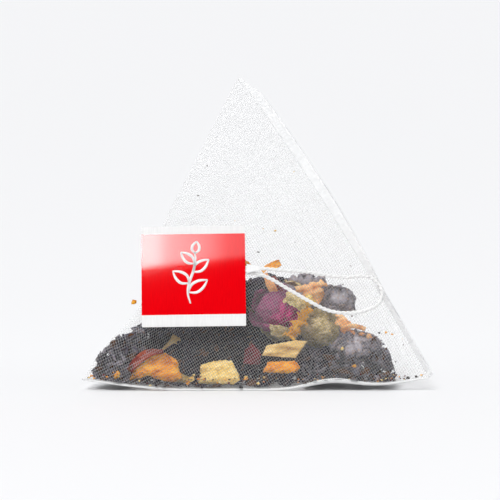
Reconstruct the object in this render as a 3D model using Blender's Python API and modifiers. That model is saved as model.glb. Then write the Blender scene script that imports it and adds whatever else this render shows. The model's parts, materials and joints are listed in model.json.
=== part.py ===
# Pyramid tea bag. A tube of woven mesh is sealed flat at one end and flat the other way at
# the other, which gives a bag with four corners. Through the mesh show leaf, fruit and a
# dried rosebud. A card tag leans on the front, over a folded thread with one free loop.
# Metres, +Z up, the bag's front face towards -Y.

import math

import bmesh
import bpy
from mathutils import Matrix, Vector, noise
from mathutils.bvhtree import BVHTree

# Corners of the bag, with the middle of its front edge at x = 0, y = 0
FRONT_WIDTH = 0.0667
APEX_HEIGHT = 0.0593
APEX_SETBACK = 0.0190
APEX_SHIFT = -0.0036
BACK_DEPTH = 0.0570
BACK_SHIFT = 0.0016
LEFT_LIFT = 0.0021
RIGHT_LIFT = 0.0025
BACK_LIFT = 0.0016

# Mesh wall
WALL = 0.0003
WEAVE_PERIODS = 8
GAP_SHARE = 0.34
WEAVE_RELIEF = 0.00016
FRONT_BULGE = 0.0016
BACK_BULGE = 0.0024
FLAT_SHARE = 0.70
CORNER_CURL = 1.6
FLOOR_FADE = 2.0
FLAT_REACH = 0.35

# Sealed edges
FLANGE_WIDTH = 0.0022
SEAL_BOW = 0.0013
FLANGE_TURN = math.radians(38)

# Dent in the left edge
DENT_DEPTH = 0.0040
DENT_AT = 0.25
DENT_REACH = 0.0085

# Tag, thread and the tab that holds the thread
TAG_WIDTH = 0.0200
TAG_HEIGHT = 0.0197
TAG_CARD = 0.00032
TAG_ACROSS = -0.0119
TAG_UP = 0.0199
TAG_BAND_TOP = 0.0016
TAG_BAND_BOTTOM = 0.0023
THREAD = 0.0005
THREAD_STEP = 0.0015
TAB_CARD = 0.0003
TAB_RISE = 0.0010
TAB_UNIT = 0.0010
TAB_OUTLINE = ((0.0, -0.85), (2.9, -0.15), (2.9, 0.2), (0.0, 0.85))

# Fill. Its pieces are given in a unit that is a millimetre in this bag and less in a smaller
FILL_UNIT = min(FRONT_WIDTH / 66.7, APEX_HEIGHT / 59.3, BACK_DEPTH / 57.0)
SEAT = 0.0004
CLEAR = 0.0003
PETAL = 0.0003
ROOM_MARGIN = 1.5 * FILL_UNIT
ROOM_STEP = 0.7 * FILL_UNIT
ROOM_STEPS = 26
ROOM_SHRINK = 0.85
ROOM_SHRINKS = 8
BUD_RADIUS = 4.1 * FILL_UNIT
BUD_LENGTH = 7.6 * FILL_UNIT
PETAL_LENGTH = 9.8 * FILL_UNIT
PETAL_ARC = math.radians(112)
PETAL_SPIRAL = 1.1 * FILL_UNIT
PETAL_SWELL = 1.6 * FILL_UNIT
PETALS = 4
SEPALS = 5

# Colours
MESH_WHITE = (0.86, 0.87, 0.86)
CARD_RED = (0.85, 0.0, 0.01)
CARD_WHITE = (0.90, 0.90, 0.89)
THREAD_WHITE = (0.93, 0.93, 0.91)
LEAF_DARK = (0.030, 0.032, 0.050)
ORANGE = (0.75, 0.27, 0.04)
PALE_YELLOW = (0.76, 0.53, 0.16)
TAN = (0.60, 0.42, 0.16)
DARK_RED = (0.20, 0.02, 0.04)
PEACH = (0.72, 0.38, 0.17)
ROSE = (0.38, 0.02, 0.17)
OLIVE = (0.22, 0.17, 0.05)

LEFT = Vector((-FRONT_WIDTH / 2, 0, LEFT_LIFT))
RIGHT = Vector((FRONT_WIDTH / 2, 0, RIGHT_LIFT))
APEX = Vector((APEX_SHIFT, APEX_SETBACK, APEX_HEIGHT))
BACK = Vector((BACK_SHIFT, BACK_DEPTH, BACK_LIFT))


def outward(a, b, c):
    # Unit normal of the wall through three corners, away from the bag's middle
    normal = (b - a).cross(c - a).normalized()
    middle = (LEFT + RIGHT + APEX + BACK) / 4
    return normal if normal.dot(a - middle) > 0 else -normal


FRONT_OUT = outward(LEFT, RIGHT, APEX)
RIGHT_BACK_OUT = outward(RIGHT, APEX, BACK)
LEFT_BACK_OUT = outward(LEFT, APEX, BACK)
FRONT_FOOT = (LEFT + RIGHT) / 2
FRONT_ACROSS = (RIGHT - LEFT).normalized()
FRONT_UP = FRONT_OUT.cross(FRONT_ACROSS)
TOP_SEAL_OUT = ((APEX + RIGHT) / 2 - (LEFT + BACK) / 2).normalized()
FLOOR_SEAL_OUT = Vector((LEFT.y - BACK.y, BACK.x - LEFT.x, 0)).normalized()
DENT_CENTRE = LEFT.lerp(APEX, DENT_AT)
DENT_PUSH = Vector((0.95, 0.30, 0.0)).normalized()

# The ways a piece slides to its seat
SLIDES = {
    "front": Vector((0, -1, 0)),
    "down": Vector((0, 0, -1)),
    "left_back": Vector((LEFT_BACK_OUT.x, LEFT_BACK_OUT.y, 0)).normalized(),
    "right_back": Vector((RIGHT_BACK_OUT.x, RIGHT_BACK_OUT.y, 0)).normalized(),
    "left": Vector((-1, 0, 0)),
}

# The ways a piece moves to find room: up, down, to the sides and back, straight back first
ROOM_WAYS = [
    Vector((across, back, up)).normalized()
    for back in (1, 0) for up in (0, 1, -1) for across in (0, -1, 1) if across or back or up
]

# The thread's route on the front wall, in its own unit across and up from the middle of
# the front edge: folded behind the tag, out to the right, round and back
THREAD_UNIT = 0.0010
THREAD_ROUTE = (
    (-6.5, 25.0), (-10.0, 24.9), (-14.0, 24.6), (-16.6, 23.7), (-17.3, 22.3), (-16.2, 21.2),
    (-13.0, 20.9), (-7.0, 21.0), (-2.0, 20.9), (2.0, 20.4), (6.0, 20.0), (10.3, 19.9),
    (14.0, 19.4), (17.7, 19.2), (20.8, 19.1), (23.0, 18.1), (24.0, 16.2), (23.2, 14.2),
    (21.2, 13.1), (18.8, 12.5), (16.2, 12.3), (13.6, 12.7), (11.2, 13.7), (8.8, 15.0),
    (6.0, 16.7), (3.0, 18.4), (0.4, 19.4), (-2.6, 19.7), (-6.0, 19.4), (-10.0, 18.8),
    (-14.0, 18.0), (-16.4, 16.9), (-17.0, 15.4), (-15.6, 14.2), (-12.0, 13.9), (-7.5, 13.9),
)

FOOT = bpy.data.objects.new("foot", None)
PIECES = bpy.data.collections.new("pyramid_tea_bag")
SEATED = []


def finish(name, colour, roughness):
    material = bpy.data.materials.get(name)
    if material:
        return material
    material = bpy.data.materials.new(name)
    material.use_nodes = True
    shader = material.node_tree.nodes["Principled BSDF"]
    shader.inputs["Base Color"].default_value = (*colour, 1)
    shader.inputs["Roughness"].default_value = roughness
    shader.inputs["Metallic"].default_value = 0.0
    material.diffuse_color = (*colour, 1)
    return material


def add_piece(name, data, materials):
    piece = bpy.data.objects.new(name, data)
    for material in materials:
        data.materials.append(material)
    PIECES.objects.link(piece)
    piece.parent = FOOT
    return piece


def add_mesh(name, bm, *materials):
    data = bpy.data.meshes.new(name)
    bm.to_mesh(data)
    bm.free()
    data.shade_smooth()
    data.set_sharp_from_angle(angle=math.radians(40))
    return add_piece(name, data, materials)


# Mesh bag. The weave's lines run along the tube and around it. A place on the tube is
# given by how far around it lies, 0 to 4 from the left corner, and how far along, 0 to 1.


def shares(around, along):
    # What the left, right, apex and back corners each weigh in a place on the tube
    if around > 4 - along:
        around -= 4
    if around <= along:
        return 1 - along, (along + around) / 2, (along - around) / 2, 0
    if around <= 2 - along:
        return (2 - along - around) / 2, along, 0, (around - along) / 2
    if around <= 2 + along:
        return 0, (2 + along - around) / 2, (around - 2 + along) / 2, 1 - along
    return (around - 2 - along) / 2, 0, along, (4 - along - around) / 2


def curl(share, lift):
    # The underside lies flat and curls up to its corner
    over = max(0, (share - FLAT_SHARE) / (1 - FLAT_SHARE))
    return lift * over**CORNER_CURL


def wall_point(around, along):
    left, right, apex, back = shares(around, along)
    point = LEFT * left + RIGHT * right + APEX * apex + BACK * back
    low = 1 - apex
    if low > 0:
        drop = WALL / 2
        for share, corner in ((left, LEFT), (right, RIGHT), (back, BACK)):
            drop += curl(share / low, corner.z) - share / low * corner.z
        point.z += drop * low**FLOOR_FADE
    point += FRONT_OUT * (FRONT_BULGE * 27 * left * right * apex)
    point += RIGHT_BACK_OUT * (BACK_BULGE * 27 * right * apex * back)
    point += LEFT_BACK_OUT * (BACK_BULGE * 27 * left * apex * back)
    if along > 0:
        down_seal = min(1, right / along)
        bow = SEAL_BOW * along**4 * math.sin(math.pi * down_seal**0.8)
        point += TOP_SEAL_OUT * bow
    dent = math.exp(-(((point - DENT_CENTRE).length / DENT_REACH) ** 2))
    return point + DENT_PUSH * (DENT_DEPTH * dent)


def weave_lines():
    # Line places in one unit: each gap of the weave has a line on both sides
    lines = [0.0]
    for period in range(WEAVE_PERIODS):
        for side in (-0.5, 0.5):
            lines.append((period + 0.5 + side * GAP_SHARE) / WEAVE_PERIODS)
    return lines


def flange_out(vert, row):
    # The way a sealed edge stands out: the lower one lies on the floor, and the upper one
    # turns back below its middle
    if row == 0:
        return FLOOR_SEAL_OUT
    down_seal = (vert.co - APEX).length / (RIGHT - APEX).length
    turn = FLANGE_TURN * min(1, max(0, (down_seal - 0.45) / 0.3))
    return Matrix.Rotation(turn, 3, (RIGHT - APEX).normalized()) @ TOP_SEAL_OUT


def build_bag():
    lines = weave_lines()
    rows = len(lines)
    columns = 4 * rows
    bm = bmesh.new()
    knots = {}

    def knot(column, row):
        # Where the tube is sealed, its two sides share their knots
        column %= columns
        if row == 0:
            column = min(column, columns - column)
        elif row == rows:
            column = min(column, (2 * rows - column) % columns)
        if (column, row) not in knots:
            around = column // rows + lines[column % rows]
            along = lines[row] if row < rows else 1.0
            knots[column, row] = bm.verts.new(wall_point(around, along))
        return knots[column, row]

    gaps = []
    for column in range(columns):
        unit, step = divmod(column, rows)
        for row in range(rows):
            quad = [knot(column, row), knot(column + 1, row)]
            quad += [knot(column + 1, row + 1), knot(column, row + 1)]
            fold = row == (rows - 1 - step if unit % 2 else step)
            if fold and unit % 2 == 0:
                bm.faces.new((quad[0], quad[1], quad[2]))
                bm.faces.new((quad[0], quad[2], quad[3]))
            elif fold:
                bm.faces.new((quad[0], quad[1], quad[3]))
                bm.faces.new((quad[1], quad[2], quad[3]))
            else:
                face = bm.faces.new(quad)
                # Cells between two lines of the same gap, every other one each way
                if step % 2 and row % 2 and (step // 2 + row // 2) % 2 == 0:
                    gaps.append(face)
    bm.normal_update()
    for (column, row), vert in list(knots.items()):
        if row not in (0, rows) and vert.normal.z > -0.9:
            over = 1 if ((column + 1) // 2 + (row + 1) // 2) % 2 else -1
            vert.co += vert.normal * (over * WEAVE_RELIEF / 2)
    gaps = [face for face in gaps if face.normal.z > -0.9]
    bmesh.ops.delete(bm, geom=gaps, context="FACES_ONLY")

    for row in (0, rows):
        first = 0 if row == 0 else -rows
        edge = [knot(first + step, row) for step in range(2 * rows + 1)]
        tips = [bm.verts.new(vert.co + flange_out(vert, row) * FLANGE_WIDTH) for vert in edge]
        for step in range(2 * rows):
            bm.faces.new((edge[step], edge[step + 1], tips[step + 1], tips[step]))

    bag = add_mesh("mesh_bag", bm, finish("woven_mesh", MESH_WHITE, 0.5))
    shell = bag.modifiers.new("wall", "SOLIDIFY")
    shell.solidify_mode = "NON_MANIFOLD"
    shell.nonmanifold_thickness_mode = "CONSTRAINTS"
    shell.nonmanifold_merge_threshold = 0.00001
    shell.thickness = WALL
    shell.offset = 0
    print("gaps in the weave:", len(gaps))
    lie_flat(bag)
    return bag


def lie_flat(bag):
    # Gives the wall its thickness and brings its underside to one plane, at z = 0
    bpy.context.view_layer.update()
    seen = bag.evaluated_get(bpy.context.evaluated_depsgraph_get())
    wall = bpy.data.meshes.new_from_object(seen)
    bag.modifiers.clear()
    bag.data = wall
    for vert in wall.vertices:
        if vert.co.z < WALL * FLAT_REACH:
            vert.co.z = 0


# Seating: a piece starts in the bag's hollow and slides until it is SEAT from the wall or
# from a piece that already lies there.


class Solid:
    # The outer points and faces of one piece, where it lies
    def __init__(self, piece):
        seen = piece.evaluated_get(bpy.context.evaluated_depsgraph_get())
        data = seen.to_mesh()
        corners = [piece.matrix_world @ vert.co for vert in data.vertices]
        faces = [tuple(face.vertices) for face in data.polygons]
        ends = [edge.vertices for edge in data.edges]
        self.points = corners + [(corners[a] + corners[b]) / 2 for a, b in ends]
        self.tree = BVHTree.FromPolygons(corners, faces)
        self.low = [min(corner[axis] for corner in corners) - SEAT for axis in range(3)]
        self.high = [max(corner[axis] for corner in corners) + SEAT for axis in range(3)]
        seen.to_mesh_clear()

    def meets(self, other):
        # Whether the two cut each other, or one lies inside the other
        if self.tree.overlap(other.tree):
            return True
        for point, tree in ((self.points[0], other.tree), (other.points[0], self.tree)):
            nearest, normal = tree.find_nearest(point)[:2]
            if (point - nearest).dot(normal) < 0:
                return True
        return False

    def misses(self, other, way):
        # Whether it passes beside the other as it slides
        for axis in range(3):
            apart = self.low[axis] > other.high[axis] or other.low[axis] > self.high[axis]
            if abs(way[axis]) < 1e-6 and apart:
                return True
        return False


def free_way(moving, still, way, limit):
    for one in moving:
        for other in still:
            if one.misses(other, way):
                continue
            both_ways = ((one.points, other.tree, way), (other.points, one.tree, -way))
            for points, tree, toward in both_ways:
                for point in points:
                    distance = tree.ray_cast(point, toward, limit)[3]
                    limit = limit if distance is None else min(limit, distance)
    return limit


def slide(carrier, pieces, way, limit):
    moving = [Solid(piece) for piece in pieces]
    free = free_way(moving, SEATED, way, limit + SEAT)
    carrier.location += way * (free - SEAT)
    bpy.context.view_layer.update()


def has_room(pieces, place):
    # Whether the pieces stand clear of all that lies in the bag, with their middle in it
    walls = (FRONT_OUT, RIGHT_BACK_OUT, LEFT_BACK_OUT)
    if place.z < ROOM_MARGIN or any(out.dot(place - APEX) > -ROOM_MARGIN for out in walls):
        return False
    moving = [Solid(piece) for piece in pieces]
    return not any(one.meets(other) for one in moving for other in SEATED)


def find_room(carrier, pieces):
    # Moves a piece that would start in a wall or in another piece to the nearest free place.
    # Where the bag has none, the piece is made smaller.
    home = carrier.location.copy()
    for shrink in range(ROOM_SHRINKS):
        carrier.scale = [ROOM_SHRINK**shrink] * 3
        for step in range(ROOM_STEPS):
            for way in ROOM_WAYS if step else ROOM_WAYS[:1]:
                carrier.location = home + way * (step * ROOM_STEP)
                bpy.context.view_layer.update()
                if has_room(pieces, carrier.location):
                    return
    raise ValueError(f"no room for {carrier.name}")


def seat(pieces, slides):
    # Several pieces are carried by their parent
    carrier = pieces[0].parent if len(pieces) > 1 else pieces[0]
    bpy.context.view_layer.update()
    find_room(carrier, pieces)
    for name in slides:
        slide(carrier, pieces, SLIDES[name], FRONT_WIDTH)
    SEATED.extend(Solid(piece) for piece in pieces)


def inside(across, up, back):
    # A place in the bag: across the front wall from left to right, up to the apex, and back
    # towards the rear corner
    left = LEFT.lerp(APEX, up)
    right = RIGHT.lerp(APEX, up)
    depth = BACK.lerp(APEX, up).y - left.y
    return left.lerp(right, across) + Vector((0, back * depth, 0))


# Shapes of the fill


def clump(name, size, place, slides, seed):
    # A lump of curled leaf or dried fruit: a ball with knobs, pressed to its size
    bm = bmesh.new()
    bmesh.ops.create_icosphere(bm, subdivisions=2, radius=0.5)
    shift = Vector((seed * 3.7, seed * 1.3, seed * 2.1))
    for vert in bm.verts:
        way = vert.co.normalized()
        nearest = noise.voronoi(way * 1.8 + shift)[0][0]
        swell = 1.0 + 0.34 * (0.42 - nearest) + 0.14 * noise.noise(way * 1.2 + shift)
        vert.co = Vector([side / 2 * FILL_UNIT * part * swell for side, part in zip(size, way)])
    piece = add_mesh(name, bm, finish("dark_leaf", LEAF_DARK, 0.7))
    piece.location = inside(*place)
    seat([piece], slides)


def lie_on_front(piece):
    # Turns a flat piece to lie along the front wall
    wall = Matrix((FRONT_ACROSS, FRONT_UP, FRONT_OUT)).transposed()
    piece.rotation_euler = wall.to_euler()


def flat_curve(name, outline, unit, closed, depth, edge):
    # A flat outline, given depth and a rounded edge
    data = bpy.data.curves.new(name, "CURVE")
    data.dimensions = "2D" if closed else "3D"
    data.fill_mode = "BOTH" if closed else "FULL"
    data.use_fill_caps = not closed
    spline = data.splines.new("POLY")
    spline.points.add(len(outline) - 1)
    for point, (across, up) in zip(spline.points, outline):
        point.co = (across * unit, up * unit, 0, 1)
    spline.use_cyclic_u = closed
    data.bevel_depth = edge
    data.extrude = depth / 2 - edge
    data.bevel_resolution = 0
    data.resolution_u = 1
    return data


def chip(name, outline, depth, edge, place, slides, colour):
    data = flat_curve(name, outline, FILL_UNIT, True, depth * FILL_UNIT, edge * FILL_UNIT)
    data.offset = -edge * FILL_UNIT
    piece = add_piece(name, data, [finish(name, colour, 0.65)])
    piece.location = inside(*place)
    lie_on_front(piece)
    seat([piece], slides)


def strip(name, path, width, thickness, place, slides, colour):
    half = thickness / 2 * FILL_UNIT
    data = flat_curve(name, path, FILL_UNIT, False, width * FILL_UNIT, half)
    data.bevel_resolution = 1
    piece = add_piece(name, data, [finish(name, colour, 0.6)])
    piece.location = inside(*place)
    lie_on_front(piece)
    seat([piece], slides)


def arc(radius, first, last, steps):
    # Points along part of a circle, by angle in degrees
    turns = [math.radians(first + (last - first) * step / steps) for step in range(steps + 1)]
    return [(radius * math.cos(turn), radius * math.sin(turn)) for turn in turns]


def turned(name, profile, material):
    # A closed turned body from a profile that runs from top to bottom
    bm = bmesh.new()
    verts = [bm.verts.new((radius, 0, up)) for radius, up in profile]
    for upper, lower in zip(verts, verts[1:]):
        bm.edges.new((upper, lower))
    piece = add_mesh(name, bm, material)
    spin = piece.modifiers.new("turn", "SCREW")
    spin.steps = spin.render_steps = 12
    spin.use_merge_vertices = True
    spin.merge_threshold = 0.00001
    return piece


def blade(name, base, length, width, turn, radius_at, spiral, material):
    # A petal or sepal: part of a bulging tube round the bud's axis, narrow at its ends
    bm = bmesh.new()
    levels, steps = 4, 4
    rows = []
    for level in range(levels + 1):
        up = level / levels
        spread = width * math.sin(math.pi * (0.28 + 0.62 * up)) ** 0.6
        row = []
        for step in range(steps + 1):
            side = step / steps - 0.5
            radius = radius_at(up) + spiral * side
            angle = turn + spread * side
            point = (radius * math.cos(angle), radius * math.sin(angle), base + length * up)
            row.append(bm.verts.new(point))
        rows.append(row)
    for lower, upper in zip(rows, rows[1:]):
        for step in range(steps):
            bm.faces.new((lower[step], lower[step + 1], upper[step + 1], upper[step]))
    piece = add_mesh(name, bm, material)
    shell = piece.modifiers.new("blade", "SOLIDIFY")
    shell.thickness = PETAL
    shell.offset = 0
    return piece


def build_rosebud():
    # Built standing on its stalk end, then laid on its side with the petals to the left
    neck = BUD_RADIUS * 0.62
    profile = [(0, BUD_LENGTH), (neck, BUD_LENGTH)]
    for step in range(6):
        turn = math.pi * (0.24 + 0.66 * step / 5)
        up = BUD_LENGTH / 2 * (1 + math.cos(turn))
        profile.append((BUD_RADIUS * math.sin(turn), up))
    profile.append((0, profile[-1][1]))
    pieces = [turned("rosebud_calyx", profile, finish("rose_calyx", OLIVE, 0.8))]
    petal_finish = finish("rose_petal", ROSE, 0.6)
    sepal_finish = finish("rose_sepal", OLIVE, 0.8)
    outer_base = BUD_LENGTH + CLEAR
    inner_base = outer_base + PETAL

    def outer(up):
        swell = PETAL_SWELL * math.sin(math.pi * up * 0.8)
        return neck + PETAL_SPIRAL / 2 + swell

    def inner(up):
        return neck * 0.45 + PETAL_SWELL / 2 * math.sin(math.pi * up * 0.8)

    def sepal(up):
        return outer(up) + PETAL_SPIRAL / 2 + PETAL + CLEAR * (1 + up)

    for number in range(PETALS):
        turn = math.tau * number / PETALS
        name = f"rosebud_outer_petal_{number + 1}"
        pieces.append(blade(name, outer_base, PETAL_LENGTH, PETAL_ARC, turn, outer,
                            PETAL_SPIRAL, petal_finish))
    for number in range(PETALS - 1):
        turn = math.tau * number / (PETALS - 1) + 0.5
        name = f"rosebud_inner_petal_{number + 1}"
        pieces.append(blade(name, inner_base, PETAL_LENGTH * 0.86, PETAL_ARC, turn, inner,
                            PETAL_SPIRAL * 0.8, petal_finish))
    for number in range(SEPALS):
        turn = math.tau * (number + 0.25) / SEPALS
        name = f"rosebud_sepal_{number + 1}"
        pieces.append(blade(name, outer_base, PETAL_LENGTH * 0.62, PETAL_ARC * 0.3, turn, sepal,
                            0, sepal_finish))

    bud = bpy.data.objects.new("rosebud", None)
    PIECES.objects.link(bud)
    bud.parent = FOOT
    for piece in pieces:
        piece.parent = bud
    bud.rotation_euler = (math.radians(8), math.radians(-64), 0)
    bud.location = inside(0.778, 0.115, 0.30)
    seat(pieces, ["front"])


def build_fill():
    # From the front, in the order in which the pieces lie behind each other
    chip("orange_chunk",
         ((-5.2, -2.6), (-1.6, -1.7), (2.0, -2.9), (5.2, -2.4), (3.9, 1.4), (1.5, 2.9),
          (-1.6, 2.6), (-3.8, 0.4)),
         3.0, 0.6, (0.197, 0.052, 0.20), ["front", "down"], ORANGE)
    chip("yellow_flake",
         ((-3.4, 0.2), (-1.8, -0.8), (2.2, -1.0), (3.5, -0.4), (1.0, 0.8), (-2.0, 0.9)),
         0.9, 0.2, (0.264, 0.034, 0.10), ["down", "front"], PALE_YELLOW)
    chip("pale_chunk",
         ((-3.9, -2.2), (3.0, -2.3), (4.2, -1.4), (2.6, 2.1), (0.2, 2.3), (-3.6, 1.5)),
         2.8, 0.5, (0.391, 0.029, 0.20), ["front", "down"], PALE_YELLOW)
    chip("red_petal_bit",
         ((-1.7, -1.9), (1.5, -2.2), (1.9, -0.2), (0.2, 2.1), (-1.4, 0.9)),
         0.7, 0.2, (0.492, 0.080, 0.20), ["front"], DARK_RED)
    chip("orange_slice",
         ((-3.5, -1.0), (2.9, -1.3), (3.7, 0.0), (2.6, 1.1), (-2.6, 0.9)),
         2.2, 0.4, (0.578, 0.035, 0.20), ["front"], ORANGE)
    chip("pale_flake",
         ((-4.3, -1.2), (2.2, -1.7), (4.6, 1.6), (2.4, 1.8), (-3.4, 0.8)),
         0.8, 0.2, (0.596, 0.094, 0.20), ["front"], TAN)
    build_rosebud()
    chip("tan_flake",
         ((-2.6, -2.2), (0.4, -0.2), (1.7, -0.6), (1.8, 0.8), (0.2, 1.7), (-0.2, 0.8)),
         0.8, 0.2, (0.195, 0.138, 0.20), ["front"], TAN)
    chip("peach_core",
         ((-1.9, -1.4), (0.8, -1.6), (2.0, 0.2), (1.4, 1.5), (-1.6, 1.3)),
         0.9, 0.2, (0.776, 0.312, 0.25), ["front"], PEACH)
    strip("peach_peel", arc(2.6, 60, -70, 5),
          3.0, 1.1, (0.771, 0.209, 0.25), ["front"], PEACH)
    strip("peach_strip", ((-2.3, -0.2), (-0.8, 0.3), (0.8, 0.2), (2.4, -0.4)),
          1.6, 0.8, (0.859, 0.143, 0.20), ["front"], PEACH)
    strip("peel_curl", arc(2.6, 215, 20, 8),
          2.0, 1.0, (0.580, 0.341, 0.25), ["front"], ORANGE)

    # Dark leaf: its size, its place and the ways it slides, in the order of seating
    leaves = {
        "left_corner": ((5.7, 4.4, 6.8), (0.068, 0.056, 0.035), ["left", "front"]),
        "left_low": ((7.5, 6.6, 8.1), (0.133, 0.064, 0.12), ["front", "down"]),
        "left_top": ((5.9, 5.1, 6.2), (0.102, 0.115, 0.07), ["front", "left"]),
        "left_shoulder": ((9.6, 7.7, 8.8), (0.178, 0.135, 0.16), ["front"]),
        "left_middle_low": ((10.5, 7.7, 9.2), (0.245, 0.070, 0.20), ["front", "down"]),
        "left_middle_top": ((11.7, 9.9, 12.1), (0.293, 0.204, 0.26), ["front"]),
        "middle_low": ((11.7, 9.9, 11.2), (0.408, 0.088, 0.28), ["front", "down"]),
        "middle_top": ((11.3, 9.9, 11.7), (0.437, 0.238, 0.36), ["front"]),
        "under_bud": ((12.5, 8.8, 10.3), (0.567, 0.097, 0.30), ["front", "down"]),
        "low_right": ((12.1, 7.7, 6.2), (0.702, 0.062, 0.26), ["down", "front"]),
        "right_low": ((10.9, 7.2, 8.1), (0.829, 0.066, 0.13), ["front", "down"]),
        "right_top": ((8.1, 5.5, 5.7), (0.819, 0.131, 0.14), ["front"]),
        "behind_calyx": ((9.6, 7.7, 9.6), (0.762, 0.194, 0.32), ["front"]),
        "behind_bud": ((10.5, 8.8, 10.5), (0.588, 0.260, 0.42), ["front"]),
        "top": ((7.5, 5.5, 6.7), (0.785, 0.317, 0.25), ["front"]),
        "top_right": ((5.5, 4.8, 5.5), (0.848, 0.261, 0.14), ["front"]),
        "top_bit": ((4.0, 2.9, 3.3), (0.676, 0.321, 0.35), ["front"]),
        "back_left": ((12.0, 9.0, 10.0), (0.389, 0.097, 0.42), ["left_back", "down"]),
        "back_left_top": ((10.0, 8.0, 8.0), (0.408, 0.234, 0.52), ["left_back"]),
        "back_right": ((12.0, 9.0, 10.0), (0.618, 0.097, 0.42), ["right_back", "down"]),
        "back_right_top": ((10.0, 8.0, 8.0), (0.580, 0.234, 0.62), ["right_back"]),
        "back": ((10.5, 10.5, 8.5), (0.513, 0.088, 0.70), ["down"]),
    }
    for seed, (name, (size, place, slides)) in enumerate(leaves.items()):
        clump("leaf_" + name, size, place, slides, seed)


# Tag, thread and tab, on the front wall


def on_front(across, up, out):
    # A place by the front wall's own plane
    return FRONT_FOOT + FRONT_ACROSS * across + FRONT_UP * up + FRONT_OUT * out


def front_reach(bag):
    # How far the wall stands out of its plane under the tag and the thread
    reach = 0
    for point in bag.points:
        up = (point - FRONT_FOOT).dot(FRONT_UP)
        if TAG_UP - TAG_HEIGHT / 2 < up < TAG_UP + TAG_HEIGHT / 2:
            reach = max(reach, (point - FRONT_FOOT).dot(FRONT_OUT))
    return reach


def smooth_route(route, step):
    # Even points on a smooth curve through the route's own points
    ends = [route[0] * 2 - route[1], *route, route[-1] * 2 - route[-2]]
    fine = []
    for before, start, end, after in zip(ends, ends[1:], ends[2:], ends[3:]):
        for part in range(20):
            t = part / 20
            bend = (2 * before - 5 * start + 4 * end - after) * t
            bend += (3 * start - before - 3 * end + after) * t * t
            fine.append(start + ((end - before) + bend) * (t / 2))
    fine.append(route[-1])
    length = sum((b - a).length for a, b in zip(fine, fine[1:]))
    count = round(length / step)
    points, run = [fine[0]], 0
    for a, b in zip(fine, fine[1:]):
        run += (b - a).length
        if run >= length / count * len(points) and len(points) < count:
            points.append(b)
    points.append(fine[-1])
    print("thread length:", round(length, 4), "points:", len(points))
    return points


def build_thread(out):
    data = bpy.data.curves.new("thread", "CURVE")
    data.dimensions = "3D"
    spline = data.splines.new("POLY")
    route = [on_front(across * THREAD_UNIT, up * THREAD_UNIT, out) for across, up in THREAD_ROUTE]
    points = smooth_route(route, THREAD_STEP)
    spline.points.add(len(points) - 1)
    for point, place in zip(spline.points, points):
        point.co = (*place, 1)
    data.bevel_depth = THREAD / 2
    data.bevel_resolution = 2
    data.resolution_u = 1
    data.use_fill_caps = True
    add_piece("thread", data, [finish("thread_cotton", THREAD_WHITE, 0.8)])


def card_plate(name, width, height, card, bands, centre, materials):
    # A card lying along the front wall, its face split into level bands from the top down
    bm = bmesh.new()
    bmesh.ops.create_cube(bm, size=1, matrix=Matrix.Diagonal((width, height, card, 1)))
    for cut in bands:
        geometry = bm.verts[:] + bm.edges[:] + bm.faces[:]
        bmesh.ops.bisect_plane(bm, geom=geometry, plane_co=(0, cut, 0), plane_no=(0, 1, 0))
    for face in bm.faces:
        up = face.calc_center_median().y
        face.material_index = 1 if bands and bands[1] < up < bands[0] else 0
    plate = add_mesh(name, bm, *materials)
    plate.location = centre
    lie_on_front(plate)
    return plate


def build_tag(bag):
    wall = front_reach(bag) + CLEAR
    thread_middle = wall + THREAD / 2
    tag_middle = wall + THREAD + CLEAR + TAG_CARD / 2
    build_thread(thread_middle)
    bands = (TAG_HEIGHT / 2 - TAG_BAND_TOP, TAG_BAND_BOTTOM - TAG_HEIGHT / 2)
    white = finish("card_white", CARD_WHITE, 0.45)
    red = finish("card_red", CARD_RED, 0.25)
    card_plate("tag", TAG_WIDTH, TAG_HEIGHT, TAG_CARD, bands,
               on_front(TAG_ACROSS, TAG_UP, tag_middle), (white, red))
    tab_shape = flat_curve("thread_tab", TAB_OUTLINE, TAB_UNIT, True, TAB_CARD, TAB_CARD / 4)
    tab = add_piece("thread_tab", tab_shape, [white])
    tab_across = TAG_ACROSS + TAG_WIDTH / 2 + CLEAR
    tab.location = on_front(tab_across, TAG_UP + TAB_RISE, tag_middle)
    lie_on_front(tab)


def stand_on_origin():
    # Puts the middle of the whole model's footprint at x = 0, y = 0, and its lowest face
    # at z = 0. The free thread doesn't count.
    bpy.context.view_layer.update()
    solids = [Solid(piece) for piece in PIECES.objects if piece.data and piece.name != "thread"]
    low = [min(solid.low[axis] for solid in solids) + SEAT for axis in range(3)]
    high = [max(solid.high[axis] for solid in solids) - SEAT for axis in range(3)]
    FOOT.location = (-(low[0] + high[0]) / 2, -(low[1] + high[1]) / 2, -low[2])


def main():
    for old in list(bpy.data.objects):
        if old is not FOOT:
            bpy.data.objects.remove(old, do_unlink=True)
    bpy.context.scene.collection.children.link(PIECES)
    PIECES.objects.link(FOOT)
    bag = build_bag()
    bpy.context.view_layer.update()
    SEATED.append(Solid(bag))
    build_tag(SEATED[0])
    build_fill()
    stand_on_origin()


main()
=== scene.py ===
import json
import math
import random

import bmesh
import bpy
import numpy as np
from mathutils import Matrix, Vector, noise

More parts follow.
